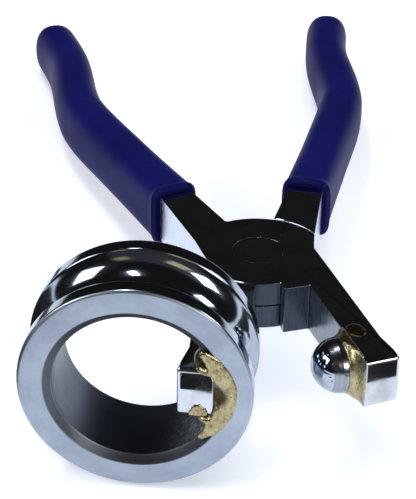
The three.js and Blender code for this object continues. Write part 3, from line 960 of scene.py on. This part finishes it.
def mark_faces(mesh):
    """Marks the polished end, and the painted shade on the throat and on the jaw's inner face."""
    painted_shade, polish = [], []
    for face in mesh.polygons:
        normal, centre = face.normal, face.center
        value = 0.0
        if abs(normal.z) < 0.9 and centre.y < JAW_SIDE:
            # Painted shade: full in the throat, less on the jaw's inner face.
            if centre.y > THROAT_END and normal.y < -0.3:
                value = 1.0
            elif normal.x < -0.5:
                value = 0.62
        painted_shade.append(value)
        polish.append(float(centre.y < POLISHED_END and normal.y < -0.3))
    for name, values in (("painted_shade", painted_shade), ("polish", polish)):
        mesh.attributes.new(name, "FLOAT", "FACE").data.foreach_set("value", values)


def build_lever(name, lower, material):
    """One forging: blank, lap relief, bore, ring clearance, core and broken edges, in that order."""
    levers, sizes = settings("plier_levers"), settings("plier_turned")
    lever = prism(name, lever_outline(lower), -HALF_THICKNESS, HALF_THICKNESS)
    tidy_mesh(lever)
    reach, height = levers.plate_radius + LAP_GAP, 2 * HALF_THICKNESS
    relief = [(0, -height), (reach, -height), (reach, LAP_GAP / 2), (0, LAP_GAP / 2)]
    combine(lever, cutter("relief", relief, 144), "DIFFERENCE")
    combine(lever, cutter("bore", bore_profile(sizes.rivet_radius, 0.03 * MM), 96), "DIFFERENCE")
    if lower:
        sweep = ring_sweep(0.05 * MM)
        sweep.data.transform(turn("X", -math.pi / 2))
        sweep.data.transform(lever_place(True).inverted() @ ring_place())
        combine(lever, sweep, "DIFFERENCE")
    combine(lever, core_bar(), "UNION")
    tidy_mesh(lever, merge=0.004 * MM, outward=False)
    bevel = lever.modifiers.new("edges", "BEVEL")
    bevel.limit_method = "WEIGHT"
    bevel.width = edge_weights(lever.data, 32)
    bevel.segments = 3
    bevel.use_clamp_overlap = False
    bevel.miter_outer = "MITER_ARC"
    bake_modifiers(lever)
    tidy_mesh(lever, merge=0.002 * MM, outward=False)
    smooth_by_angle(lever, 38)
    mark_faces(lever.data)
    lever.data.transform(lever_place(lower))
    body, node = ("lower", "lower_lever") if lower else ("upper", "upper_lever")
    hand_over(lever, body, [node], material)


def core_bar():
    """Round-cornered steel core that the coat is dipped over."""
    inset = 0.15 * MM  # under the tang's own faces
    half_width = settings("plier_levers").tang_width / 2 - inset
    half_height = HALF_THICKNESS - inset
    end = HANDLE_RUN[-1] - 5 * MM
    start = TANG_IN_GRIP - 4 * MM
    close = settings("plier_grips").tip_round - settings("plier_grips").wall
    sides, rows, cap = 40, 40, 8
    rings = []
    for i in range(rows + 1):
        distance = start + (end - close - start) * i / rows
        square = 6 - 3 * (distance / end) ** 0.5
        rings.append(handle_ring(distance, half_width, half_height, square, sides))
    for i in range(1, cap):
        angle = math.pi / 2 * i / cap
        distance = end - close + close * math.sin(angle)
        shrink = math.cos(angle)
        rings.append(handle_ring(distance, half_width * shrink, half_height * shrink, 3, sides))
    first, last = on_handle(start)[0], on_handle(end)[0]
    made = skin("core", rings, Vector((*first, 0)), Vector((*last, 0)))
    tidy_mesh(made)
    return made


class PLIERS_OT_levers(bpy.types.Operator):
    """Forge the two levers: jaw, shoulder, lap plate, tang and core"""

    bl_idname = "pliers.levers"
    bl_label = "Levers"

    def execute(self, context):
        steel = forged_steel_finish()
        build_lever("upper_lever_forging", False, steel)
        build_lever("lower_lever_forging", True, steel)
        return {"FINISHED"}


# ---- grips ----

# The rolled lip: place along its length, height as a share of the lip's, and how much it shows.
LIP_SHAPE = ((0.35, 1.0, 1), (0.6, 0.9, 0.9), (0.8, 0.55, 0.6), (1.0, 0.15, 0.25), (1.2, 0.0, 0))


def build_grip(name, node, lower, material):
    """One closed skin: up the inside of the coat from the core's end, round the lip, down the outside."""
    grips, levers = settings("plier_grips"), settings("plier_levers")
    sides, cap, tip_rows, mouth_rows = 64, 8, 14, 6
    total = HANDLE_RUN[-1]
    gap = 0.04 * MM  # between the coat and the steel
    inner_w = levers.tang_width / 2 + gap
    inner_h = HALF_THICKNESS + gap
    outer_w = levers.tang_width / 2 + grips.wall
    outer_h = HALF_THICKNESS + grips.wall
    rows = []

    def row(distance, width, height, square, lip):
        rows.append((handle_ring(distance, width, height, square, sides), lip))

    pocket = total - 4.6 * MM
    close = grips.tip_round - grips.wall
    for i in range(cap - 1, 0, -1):
        angle = math.pi / 2 * i / cap
        shrink = math.cos(angle)
        row(pocket - close + close * math.sin(angle), inner_w * shrink, inner_h * shrink, 3, 0)
    mouth, bore_rows = 1.2 * MM, 30
    for i in range(bore_rows, 0, -1):
        distance = mouth + (pocket - close - mouth) * i / bore_rows
        row(distance, inner_w, inner_h, 8 - 5 * (distance / total) ** 0.5, 0)
    # The mouth hugs the tang: flat front, rounded outer edge, then the rolled lip behind it.
    row(mouth, inner_w, inner_h, 8, 1)
    row(0.2 * MM, inner_w, inner_h, 8, 1)
    row(0.03 * MM, inner_w + 0.05 * MM, inner_h + 0.05 * MM, 8, 1)
    round_off = 0.55 * MM
    front = grips.wall - 0.4 * MM - round_off
    row(0, inner_w + 0.15 * MM, inner_h + 0.15 * MM, 7.5, 1)
    for i in range(mouth_rows + 1):
        angle = math.pi / 2 * i / mouth_rows
        out = front + round_off * math.sin(angle)
        row(round_off * (1 - math.cos(angle)), inner_w + out, inner_h + out, 6.8 - 0.3 * i, 1)
    for share, proud, lip in LIP_SHAPE:
        distance = grips.lip_length * (0.35 + share)
        extra = grips.lip * proud
        row(distance, outer_w + extra, outer_h + extra, 4.6, lip)
    start, last_row = grips.lip_length * 1.7, 95
    for i in range(last_row + 1):
        distance = start + (total - grips.tip_round - start) * i / last_row
        share = distance / total
        waist = 0.16 * MM * math.sin(math.pi * min(share * 2.4, 1.0))
        square = 4.5 + (2.4 - 4.5) * share**0.5
        row(distance, outer_w - waist, outer_h - waist * 0.6, square, 0)
    for i in range(1, tip_rows):
        angle = math.pi / 2 * i / tip_rows
        distance = total - grips.tip_round + grips.tip_round * math.sin(angle)
        shrink = math.cos(angle)
        row(distance, outer_w * shrink, outer_h * shrink, 2.4, 0)
    first, last = on_handle(pocket)[0], on_handle(total)[0]
    grip = skin(name, [r for r, _ in rows], Vector((*first, 0)), Vector((*last, 0)))
    lips = grip.data.attributes.new("lip", "FLOAT", "POINT")
    values = [lip for _, lip in rows for _ in range(sides)] + [0, 0]
    lips.data.foreach_set("value", values)
    work = bmesh.new()
    work.from_mesh(grip.data)
    if work.calc_volume(signed=True) < 0:
        bmesh.ops.reverse_faces(work, faces=work.faces)
    work.to_mesh(grip.data)
    work.free()
    grip.data.shade_smooth()
    grip.data.transform(lever_place(lower))
    hand_over(grip, "lower" if lower else "upper", [node], material)


class PLIERS_OT_grips(bpy.types.Operator):
    """Dip the two vinyl grips"""

    bl_idname = "pliers.grips"
    bl_label = "Grips"

    def execute(self, context):
        vinyl = vinyl_finish()
        build_grip("left_grip_coat", "left_grip", False, vinyl)
        build_grip("right_grip_coat", "right_grip", True, vinyl)
        return {"FINISHED"}


# ---- turned pieces ----


def ring_profile():
    """[radius, height] round the ring's section, with eased edges."""
    sizes, figures = settings("plier_turned"), ring_figures()
    half, bore, outer = figures["half_width"], sizes.bore_radius, figures["outer"]
    edge, groove = sizes.ring_edge, figures["groove"]
    face, depth = bore + 2 * MM, 1.4 * MM
    crest = 0.35 * MM  # eased edge between the land and the groove
    lip = -figures["half_opening"]
    half_side = [
        (bore, 0),
        (bore, -half * 0.5),
        (bore, -half + depth + 0.12 * MM),
        (bore + 0.06 * MM, -half + depth - 0.02 * MM),
        (face - 0.15 * MM, -half + 0.1 * MM),
        (face - 0.04 * MM, -half + 0.015 * MM),
        (face + 0.12 * MM, -half),
        ((face + outer) / 2, -half),
        *arc((outer - edge, -half + edge), edge, -math.pi / 2, 0, 8),
        (outer, (lip - half + edge) / 2),
        (outer, lip - crest),
        (outer - 0.06 * MM, lip - crest * 0.35),
        (outer - 0.2 * MM, lip + 0.02 * MM),
    ]
    centre = outer + groove - sizes.groove_depth
    lead, steps = math.asin((figures["half_opening"] - 0.18 * MM) / groove), 36
    angles = [-lead + 2 * lead * i / steps for i in range(steps + 1)]
    hollow = [(centre - groove * math.cos(a), groove * math.sin(a)) for a in angles]
    other = [(radius, -height) for radius, height in reversed(half_side[1:])]
    return half_side + hollow + other


class PLIERS_OT_ring(bpy.types.Operator):
    """Turn the groove ring"""

    bl_idname = "pliers.ring"
    bl_label = "Groove ring"

    def execute(self, context):
        place = ring_place() @ turn("X", -math.pi / 2)
        finish = ring_finish(place)
        ring = turned("groove_ring_turning", ring_profile(), True, 224, place, finish)
        smooth_by_angle(ring, 35)
        hand_over(ring, "lower", ["groove_ring"], finish)
        return {"FINISHED"}


class PLIERS_OT_dome(bpy.types.Operator):
    """Turn the dome stud"""

    bl_idname = "pliers.dome"
    bl_label = "Dome stud"

    def execute(self, context):
        radius, skirt = settings("plier_turned").dome_radius, dome_skirt()
        place = dome_place()
        foot = 0.05 * MM
        undercut = radius - 0.07 * MM
        # Three narrow cones where the tool was reset, then the nose itself.
        cones = [math.radians(a) for a in (0, 9, 19)]
        profile = [
            (0, foot),
            (radius * 0.5, foot),
            (radius - 0.3 * MM, foot),
            (radius, foot + 0.3 * MM),
            (radius, skirt * 0.6),
            (radius, skirt - 0.45 * MM),
            (undercut, skirt - 0.3 * MM),
            (undercut, skirt - 0.1 * MM),
            *[(radius * math.cos(a), skirt + radius * math.sin(a)) for a in cones],
            *arc((0, skirt), radius, math.radians(30), math.pi / 2, 36)[:-1],
            (0, skirt + radius),
        ]
        finish = dome_finish(place)
        dome = turned("dome_stud_turning", profile, False, 128, place, finish)
        smooth_by_angle(dome, 6)
        hand_over(dome, "upper", ["dome_stud"], finish)
        return {"FINISHED"}


class PLIERS_OT_rivet(bpy.types.Operator):
    """Set the flush pivot rivet"""

    bl_idname = "pliers.rivet"
    bl_label = "Pivot rivet"

    def execute(self, context):
        head = settings("plier_turned").rivet_radius
        seam = settings("plier_levers").rivet_edge
        half = HALF_THICKNESS
        top = [
            (RIVET_NECK, 0),
            (RIVET_NECK, half - HEAD_DEPTH - 0.1 * MM),
            (RIVET_NECK + 0.05 * MM, half - HEAD_DEPTH + 0.02 * MM),
            (head - 0.02 * MM, half - 2.2 * seam),
            (head, half - 1.4 * seam),
            (head - seam * 0.3, half - seam * 0.3),
            (head - seam, half),
            (head * 0.5, half),
            (0, half),
        ]
        profile = [(radius, -height) for radius, height in reversed(top[1:])] + top
        finish = rivet_finish()
        rivet = turned("pivot_rivet_pin", profile, False, 128, MID_PLANE, finish)
        smooth_by_angle(rivet, 20)
        hand_over(rivet, "upper", ["pivot_rivet"], finish)
        return {"FINISHED"}


# ---- braze ----


def fuse(obj):
    """Makes one body of overlapping ones, in small even cells."""
    remesh = obj.modifiers.new("cells", "REMESH")
    remesh.mode = "VOXEL"
    remesh.voxel_size = settings("plier_braze").cell
    return bake_modifiers(obj)


def pour(obj, seed, smoothing, material, swell, ripple):
    """Turns a rough body into poured metal: fused, slumped smooth, then rippled.

    Swell and ripple are shares of the full ones.
    """
    look = settings("plier_braze")
    fuse(obj)
    slump = obj.modifiers.new("slump", "SMOOTH")
    slump.iterations = smoothing
    slump.factor = 0.5
    bake_modifiers(obj)
    tree = bpy.data.node_groups.get("poured_braze") or pouring_tree()
    values = {
        "Ripple": look.ripple * 2 * ripple,
        "Span": look.ripple_span,
        "Swell": look.swell * swell,
        "Seed": seed,
        "Material": material,
    }
    run_tree(obj, tree, values)
    obj.data.shade_smooth()


def blob(name, centre, radii, place):
    """A flattened drop, as rings of points on an ellipsoid."""
    sides, levels = 24, 10
    wide, deep, tall = radii
    rings = []
    for level in range(1, levels):
        polar = math.pi * level / levels
        out, height = math.sin(polar), centre[2] - tall * math.cos(polar)
        ring = []
        for i in range(sides):
            angle = 2 * math.pi * i / sides
            x = centre[0] + wide * out * math.cos(angle)
            y = centre[1] + deep * out * math.sin(angle)
            ring.append(place @ Vector((x, y, height)))
        rings.append(ring)
    low = place @ Vector((centre[0], centre[1], centre[2] - tall))
    high = place @ Vector((centre[0], centre[1], centre[2] + tall))
    made = skin(name, rings, low, high)
    tidy_mesh(made)
    return made


# The braze's run on the ring's front face: degrees from the jaw, radius out and width, in mm.
SPILL = (
    (-37, 18.2, 0.9),
    (-28, 19.0, 1.8),
    (-12, 19.8, 2.3),
    (6, 20.1, 2.5),
    (24, 19.2, 2.0),
    (37, 18.2, 0.9),
)


def joined(name, parts):
    """Several bodies in one mesh, to be fused by pouring."""
    work = bmesh.new()
    for part in parts:
        work.from_mesh(part.data)
        discard(part)
    made = mesh_object(name, [])
    work.to_mesh(made.data)
    work.free()
    return made


def ring_pour():
    """Braze under the jaw in the bore, filleted beside its flats and run over the ring's face."""
    figures, place = ring_figures(), ring_place()
    front, seat = -figures["half_width"], figures["seat"]
    flats = (HALF_THICKNESS - RING_RISE, -HALF_THICKNESS - RING_RISE)
    under = (seat + 0.6 * MM, front + 8 * MM, 0)
    drops = [(under, (1.0 * MM, 9 * MM, 6.4 * MM))]
    for flat, side in zip(flats, (1, -1)):
        middle = (seat - 1.1 * MM, front + 5.4 * MM, flat + side * 0.35 * MM)
        drops.append((middle, (3.8 * MM, 5.8 * MM, 1.5 * MM)))
    turns, outs, widths = zip(*SPILL)
    for degrees in range(turns[0], turns[-1] + 1, 3):
        angle = math.radians(degrees)
        out, size = np.interp(degrees, turns, outs), np.interp(degrees, turns, widths)
        middle = (out * MM * math.cos(angle), front + 0.25 * MM, out * MM * math.sin(angle))
        drops.append((middle, (size * MM, 0.6 * MM, size * MM)))
    made = fuse(joined("ring_braze_pour", [blob("drop", *drop, place) for drop in drops]))
    # It shrank back into a hollow beside the jaw as it froze.
    spot = (seat + 0.5 * MM, front - 0.3 * MM, 0)
    combine(made, blob("hollow", spot, (1.3 * MM, 1.3 * MM, 3.6 * MM), place), "DIFFERENCE")
    return made


def dome_fillet():
    """Hollow fillet from the stud's skirt to the jaw, drawn out towards the jaw's tip."""
    radius, skirt = settings("plier_turned").dome_radius, dome_skirt()
    place, setback = dome_place(), ring_figures()["setback"]
    sides, levels, sunk = 72, 12, 0.4 * MM
    rings = []
    for level in range(levels + 1):
        share = level / levels
        height = -sunk + (skirt + 0.2 * MM) * share
        ring = []
        for step in range(sides):
            angle = 2 * math.pi * step / sides
            # -Y is the tip's side; on Z the fillet stops at the jaw's flats.
            towards_tip = max(0.0, -math.sin(angle))
            foot = (2.2 + 2.6 * towards_tip**2) * MM * (1 - share) ** 2.1
            reach = radius + 0.12 * MM + foot
            across, along = reach * math.cos(angle), reach * math.sin(angle)
            limit = HALF_THICKNESS + 0.25 * MM + (radius - HALF_THICKNESS) * share
            across = max(-limit, min(limit, across))
            along = max(0.15 * MM - setback, along)
            ring.append(place @ Vector((across, along, height)))
        rings.append(ring)
    low = place @ Vector((0, 0, -sunk))
    high = place @ Vector((0, 0, skirt - 0.2 * MM))
    made = skin("dome_braze_pour", rings, low, high)
    tidy_mesh(made)
    return made


class PLIERS_OT_braze(bpy.types.Operator):
    """Pour the braze that holds the ring and the dome"""

    bl_idname = "pliers.braze"
    bl_label = "Braze"

    def execute(self, context):
        look = settings("plier_braze")
        colours = settings("plier_colours")
        bronze = braze_finish("silicon_bronze_braze", colours.braze, colours.braze_deep)
        slack = 3.5 * MM  # a pour wanders this far from its node's box
        ring = ring_pour()
        pour(ring, look.seed, 12, bronze, 0.5, 0.32)
        hand_over(ring, "lower", ["ring_braze"], bronze, slack)

        dome = dome_fillet()
        pour(dome, look.seed + 4, 8, bronze, 0.25, 0.14)
        hand_over(dome, "upper", ["dome_braze"], bronze, slack)

        burnt = braze_finish("burnt_bronze_bloom", "#6E6034", "#2B2212")
        # The upper jaw's seat has its Z turned down, so the jaw's top is at minus its half.
        spot = (-2.7 * MM, ring_figures()["setback"] + 3.4 * MM, -HALF_THICKNESS)
        size = (2.2 * MM, 2.9 * MM, 0.2 * MM)
        bloom = blob("jaw_top_braze_bloom", spot, size, seat_place(False))
        pour(bloom, look.seed + 2, 1, burnt, 0.1, 0.25)
        hand_over(bloom, "upper", (), burnt)

        spot, size = (-3.4 * MM, 0.0, -5.4 * MM), (2.2 * MM, 0.3 * MM, 2.6 * MM)
        smear = blob("jaw_end_braze_smear", spot, size, seat_place(True))
        for vertex in smear.data.vertices:
            vertex.co.z = max(vertex.co.z, RIVET_LOW.z + 0.1 * MM)
        pour(smear, look.seed + 9, 1, bronze, 0.1, 0.3)
        hand_over(smear, "lower", (), bronze)
        return {"FINISHED"}


# ---- stage ----


def resting_plane():
    """Height at the origin and slope along Y of the plane under the ring and the grips' ends."""

    def points(node):
        return np.array([v.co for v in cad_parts[node].data.vertices])

    ring, grips = points("groove_ring"), np.vstack([points("left_grip"), points("right_grip")])

    def support(cloud, slope):
        return float((cloud[:, 2] - slope * cloud[:, 1]).min())

    low, high = 0.0, 0.5
    for _ in range(50):
        slope = (low + high) / 2
        if support(ring, slope) < support(grips, slope):
            low = slope
        else:
            high = slope
    return support(ring, slope), slope


CAMERA_AIM = Vector((-10.585 * MM, 11.91 * MM, 6.0 * MM))
LIGHT_AIM = Vector((0, 0.01, 0))
# Name, place, size, watts and tint of what the steel reflects.
WINDOWS = (
    ("left_window", (-1.14, -0.2, 0.68), (0.7, 0.45), 8, "#FFFFFF"),
    ("high_window", (-0.29, 0.15, 1.29), (0.4, 0.15), 4, "#F4F8FF"),
    ("right_window", (0.6, -1.02, 0.53), (0.45, 0.35), 6, "#FFFFFF"),
    ("side_window", (1.2, 0.3, 0.7), (0.5, 0.4), 5, "#F4F8FF"),
    ("grey_wall", (0, -2.4, 1.4), (4, 2), 1.6, "#E8ECF4"),
    ("left_oak_door", (-0.68, -0.93, 0.72), (0.2, 0.25), 0.12, "#E2C685"),
    ("right_oak_door", (0.1, -1.1, 0.65), (0.32, 0.28), 0.35, "#E6D0A0"),
)


def area_light(name, place, size, watts, tint):
    """A rectangular light turned to the work."""
    light = bpy.data.lights.new(name, "AREA")
    light.shape = "RECTANGLE"
    light.size, light.size_y = size
    light.energy = watts
    light.color = srgb(tint)[:3]
    made = bpy.data.objects.new(name, light)
    made.location = place
    made.rotation_euler = (LIGHT_AIM - Vector(place)).to_track_quat("-Z", "Y").to_euler()
    bpy.context.scene.collection.objects.link(made)
    return made


# Black cards on the bench beside the work, seen only in the steel's reflections: a painted dark
# reflection that stands for the dark room round the work.
SIDE_REFLECTION_CARDS = (
    ((-0.6, -0.2), (-0.09, -0.2), (-0.09, 0.15), (-0.6, 0.15)),
    ((0.06, -0.3), (0.4, -0.3), (0.4, -0.1), (0.06, -0.1)),
)


def end_reflection_card(lower, eye, height, slope):
    """The patch of bench, [x, y], that the upper half of a jaw's polished end reflects."""
    levers = settings("plier_levers")
    tip, tip_y = TIP_INNER[lower], -levers.jaw_length
    near = lever_place(lower) @ Vector((tip, tip_y, 0))
    far = lever_place(lower) @ Vector((tip + levers.jaw_width, tip_y + TIP_SLANT, 0))
    along = (far - near).normalized()
    facing = Vector((0, 0, 1)).cross(along)
    over = along * 2 * MM
    rise = Vector((0, 0, 9 * MM))
    corners = []
    for spot in (near - over, far + over, far + over + rise, near - over + rise):
        ray = (spot - eye).normalized()
        ray -= 2 * ray.dot(facing) * facing
        run = (height + slope * spot.y - spot.z) / (ray.z - slope * ray.y)
        corners.append(tuple((spot + ray * run).xy))
    return corners


def camera_place():
    """The camera's matrix, from its turn, height, roll and distance."""
    look = settings("plier_stage")
    az, el, roll = (math.radians(a) for a in (look.azimuth, look.elevation, look.roll))
    back = Vector((math.sin(az) * math.cos(el), -math.cos(az) * math.cos(el), math.sin(el)))
    right = (-back).cross(Vector((0, 0, 1))).normalized()
    up = right.cross(-back)
    turned_right = math.cos(roll) * right + math.sin(roll) * up
    turned_up = -math.sin(roll) * right + math.cos(roll) * up
    place = Matrix((turned_right, turned_up, back)).transposed().to_4x4()
    place.translation = CAMERA_AIM + back * look.distance
    return place


class PLIERS_OT_stage(bpy.types.Operator):
    """Lay the bench top, and set the lights and the camera"""

    bl_idname = "pliers.stage"
    bl_label = "Stage"

    def execute(self, context):
        scene = context.scene
        height, slope = resting_plane()

        def bench_card(name, corners, lift, finish):
            points = [(x, y, height + slope * y + lift) for x, y in corners]
            card = mesh_object(name, points, [(0, 1, 2, 3)])
            card.data.materials.append(finish)
            return card

        reach = 3.0
        corners = ((-reach, -reach), (reach, -reach), (reach, reach), (-reach, reach))
        bench_card("bench_top", corners, 0, floor_finish())

        world = bpy.data.worlds.new("dark_studio")
        world.use_nodes = True
        surroundings = world.node_tree.nodes["Background"].inputs
        surroundings["Color"].default_value = srgb("#31302E")
        surroundings["Strength"].default_value = 0.5
        scene.world = world
        soft = area_light("overhead_silk", (0, -0.1, 1.3), (1.6, 1.6), 13, "#F6F9FF")
        soft.visible_glossy = False
        for light in WINDOWS:
            area_light(*light)
        # Painted reflection: black cards that only the steel's reflections see.
        reflection_black, _, coat = new_finish("painted_dark_reflection", 1.0, 0.0)
        coat.inputs["Base Color"].default_value = srgb("#0A0A0A")
        eye = camera_place().translation
        patches = [end_reflection_card(lower, eye, height, slope) for lower in (False, True)]
        for corners in (*SIDE_REFLECTION_CARDS, *patches):
            card = bench_card("dark_reflection_card", corners, 1 * MM, reflection_black)
            card.visible_camera = card.visible_diffuse = card.visible_shadow = False

        camera = bpy.data.objects.new("camera", bpy.data.cameras.new("camera"))
        camera.data.lens = settings("plier_stage").lens
        camera.data.sensor_width = 36
        camera.data.clip_start, camera.data.clip_end = 0.01, 20
        camera.matrix_world = camera_place()
        scene.collection.objects.link(camera)
        scene.camera = camera
        scene.view_settings.view_transform = "Standard"
        return {"FINISHED"}


# ---- panel and registration ----

BUILDERS = (
    PLIERS_OT_levers,
    PLIERS_OT_grips,
    PLIERS_OT_ring,
    PLIERS_OT_dome,
    PLIERS_OT_rivet,
    PLIERS_OT_braze,
    PLIERS_OT_stage,
)
GROUPS = {
    "plier_levers": LeverSizes,
    "plier_grips": GripSizes,
    "plier_turned": TurnedSizes,
    "plier_braze": BrazeLook,
    "plier_colours": FinishColours,
    "plier_stage": StageLook,
}


class PLIERS_PT_panel(bpy.types.Panel):
    """Sizes, colours and builders of the pliers"""

    bl_label = "Forming Pliers"
    bl_idname = "PLIERS_PT_panel"
    bl_space_type = "VIEW_3D"
    bl_region_type = "UI"
    bl_category = "Pliers"

    def draw(self, context):
        for name, group in GROUPS.items():
            box = self.layout.box()
            box.label(text=group.__doc__)
            for key in group.__annotations__:
                box.prop(getattr(context.scene, name), key)
        for builder in BUILDERS:
            self.layout.operator(builder.bl_idname)


def register():
    for group in GROUPS.values():
        bpy.utils.register_class(group)
    for builder in BUILDERS:
        bpy.utils.register_class(builder)
    bpy.utils.register_class(PLIERS_PT_panel)
    for name, group in GROUPS.items():
        setattr(bpy.types.Scene, name, bpy.props.PointerProperty(type=group))


def unregister():
    for name in GROUPS:
        delattr(bpy.types.Scene, name)
    bpy.utils.unregister_class(PLIERS_PT_panel)
    for builder in reversed(BUILDERS):
        bpy.utils.unregister_class(builder)
    for group in reversed(list(GROUPS.values())):
        bpy.utils.unregister_class(group)


def main():
    register()
    bpy.ops.pliers.levers()
    bpy.ops.pliers.grips()
    bpy.ops.pliers.ring()
    bpy.ops.pliers.dome()
    bpy.ops.pliers.rivet()
    bpy.ops.pliers.braze()
    bpy.ops.pliers.stage()


if __name__ == "__main__":
    main()
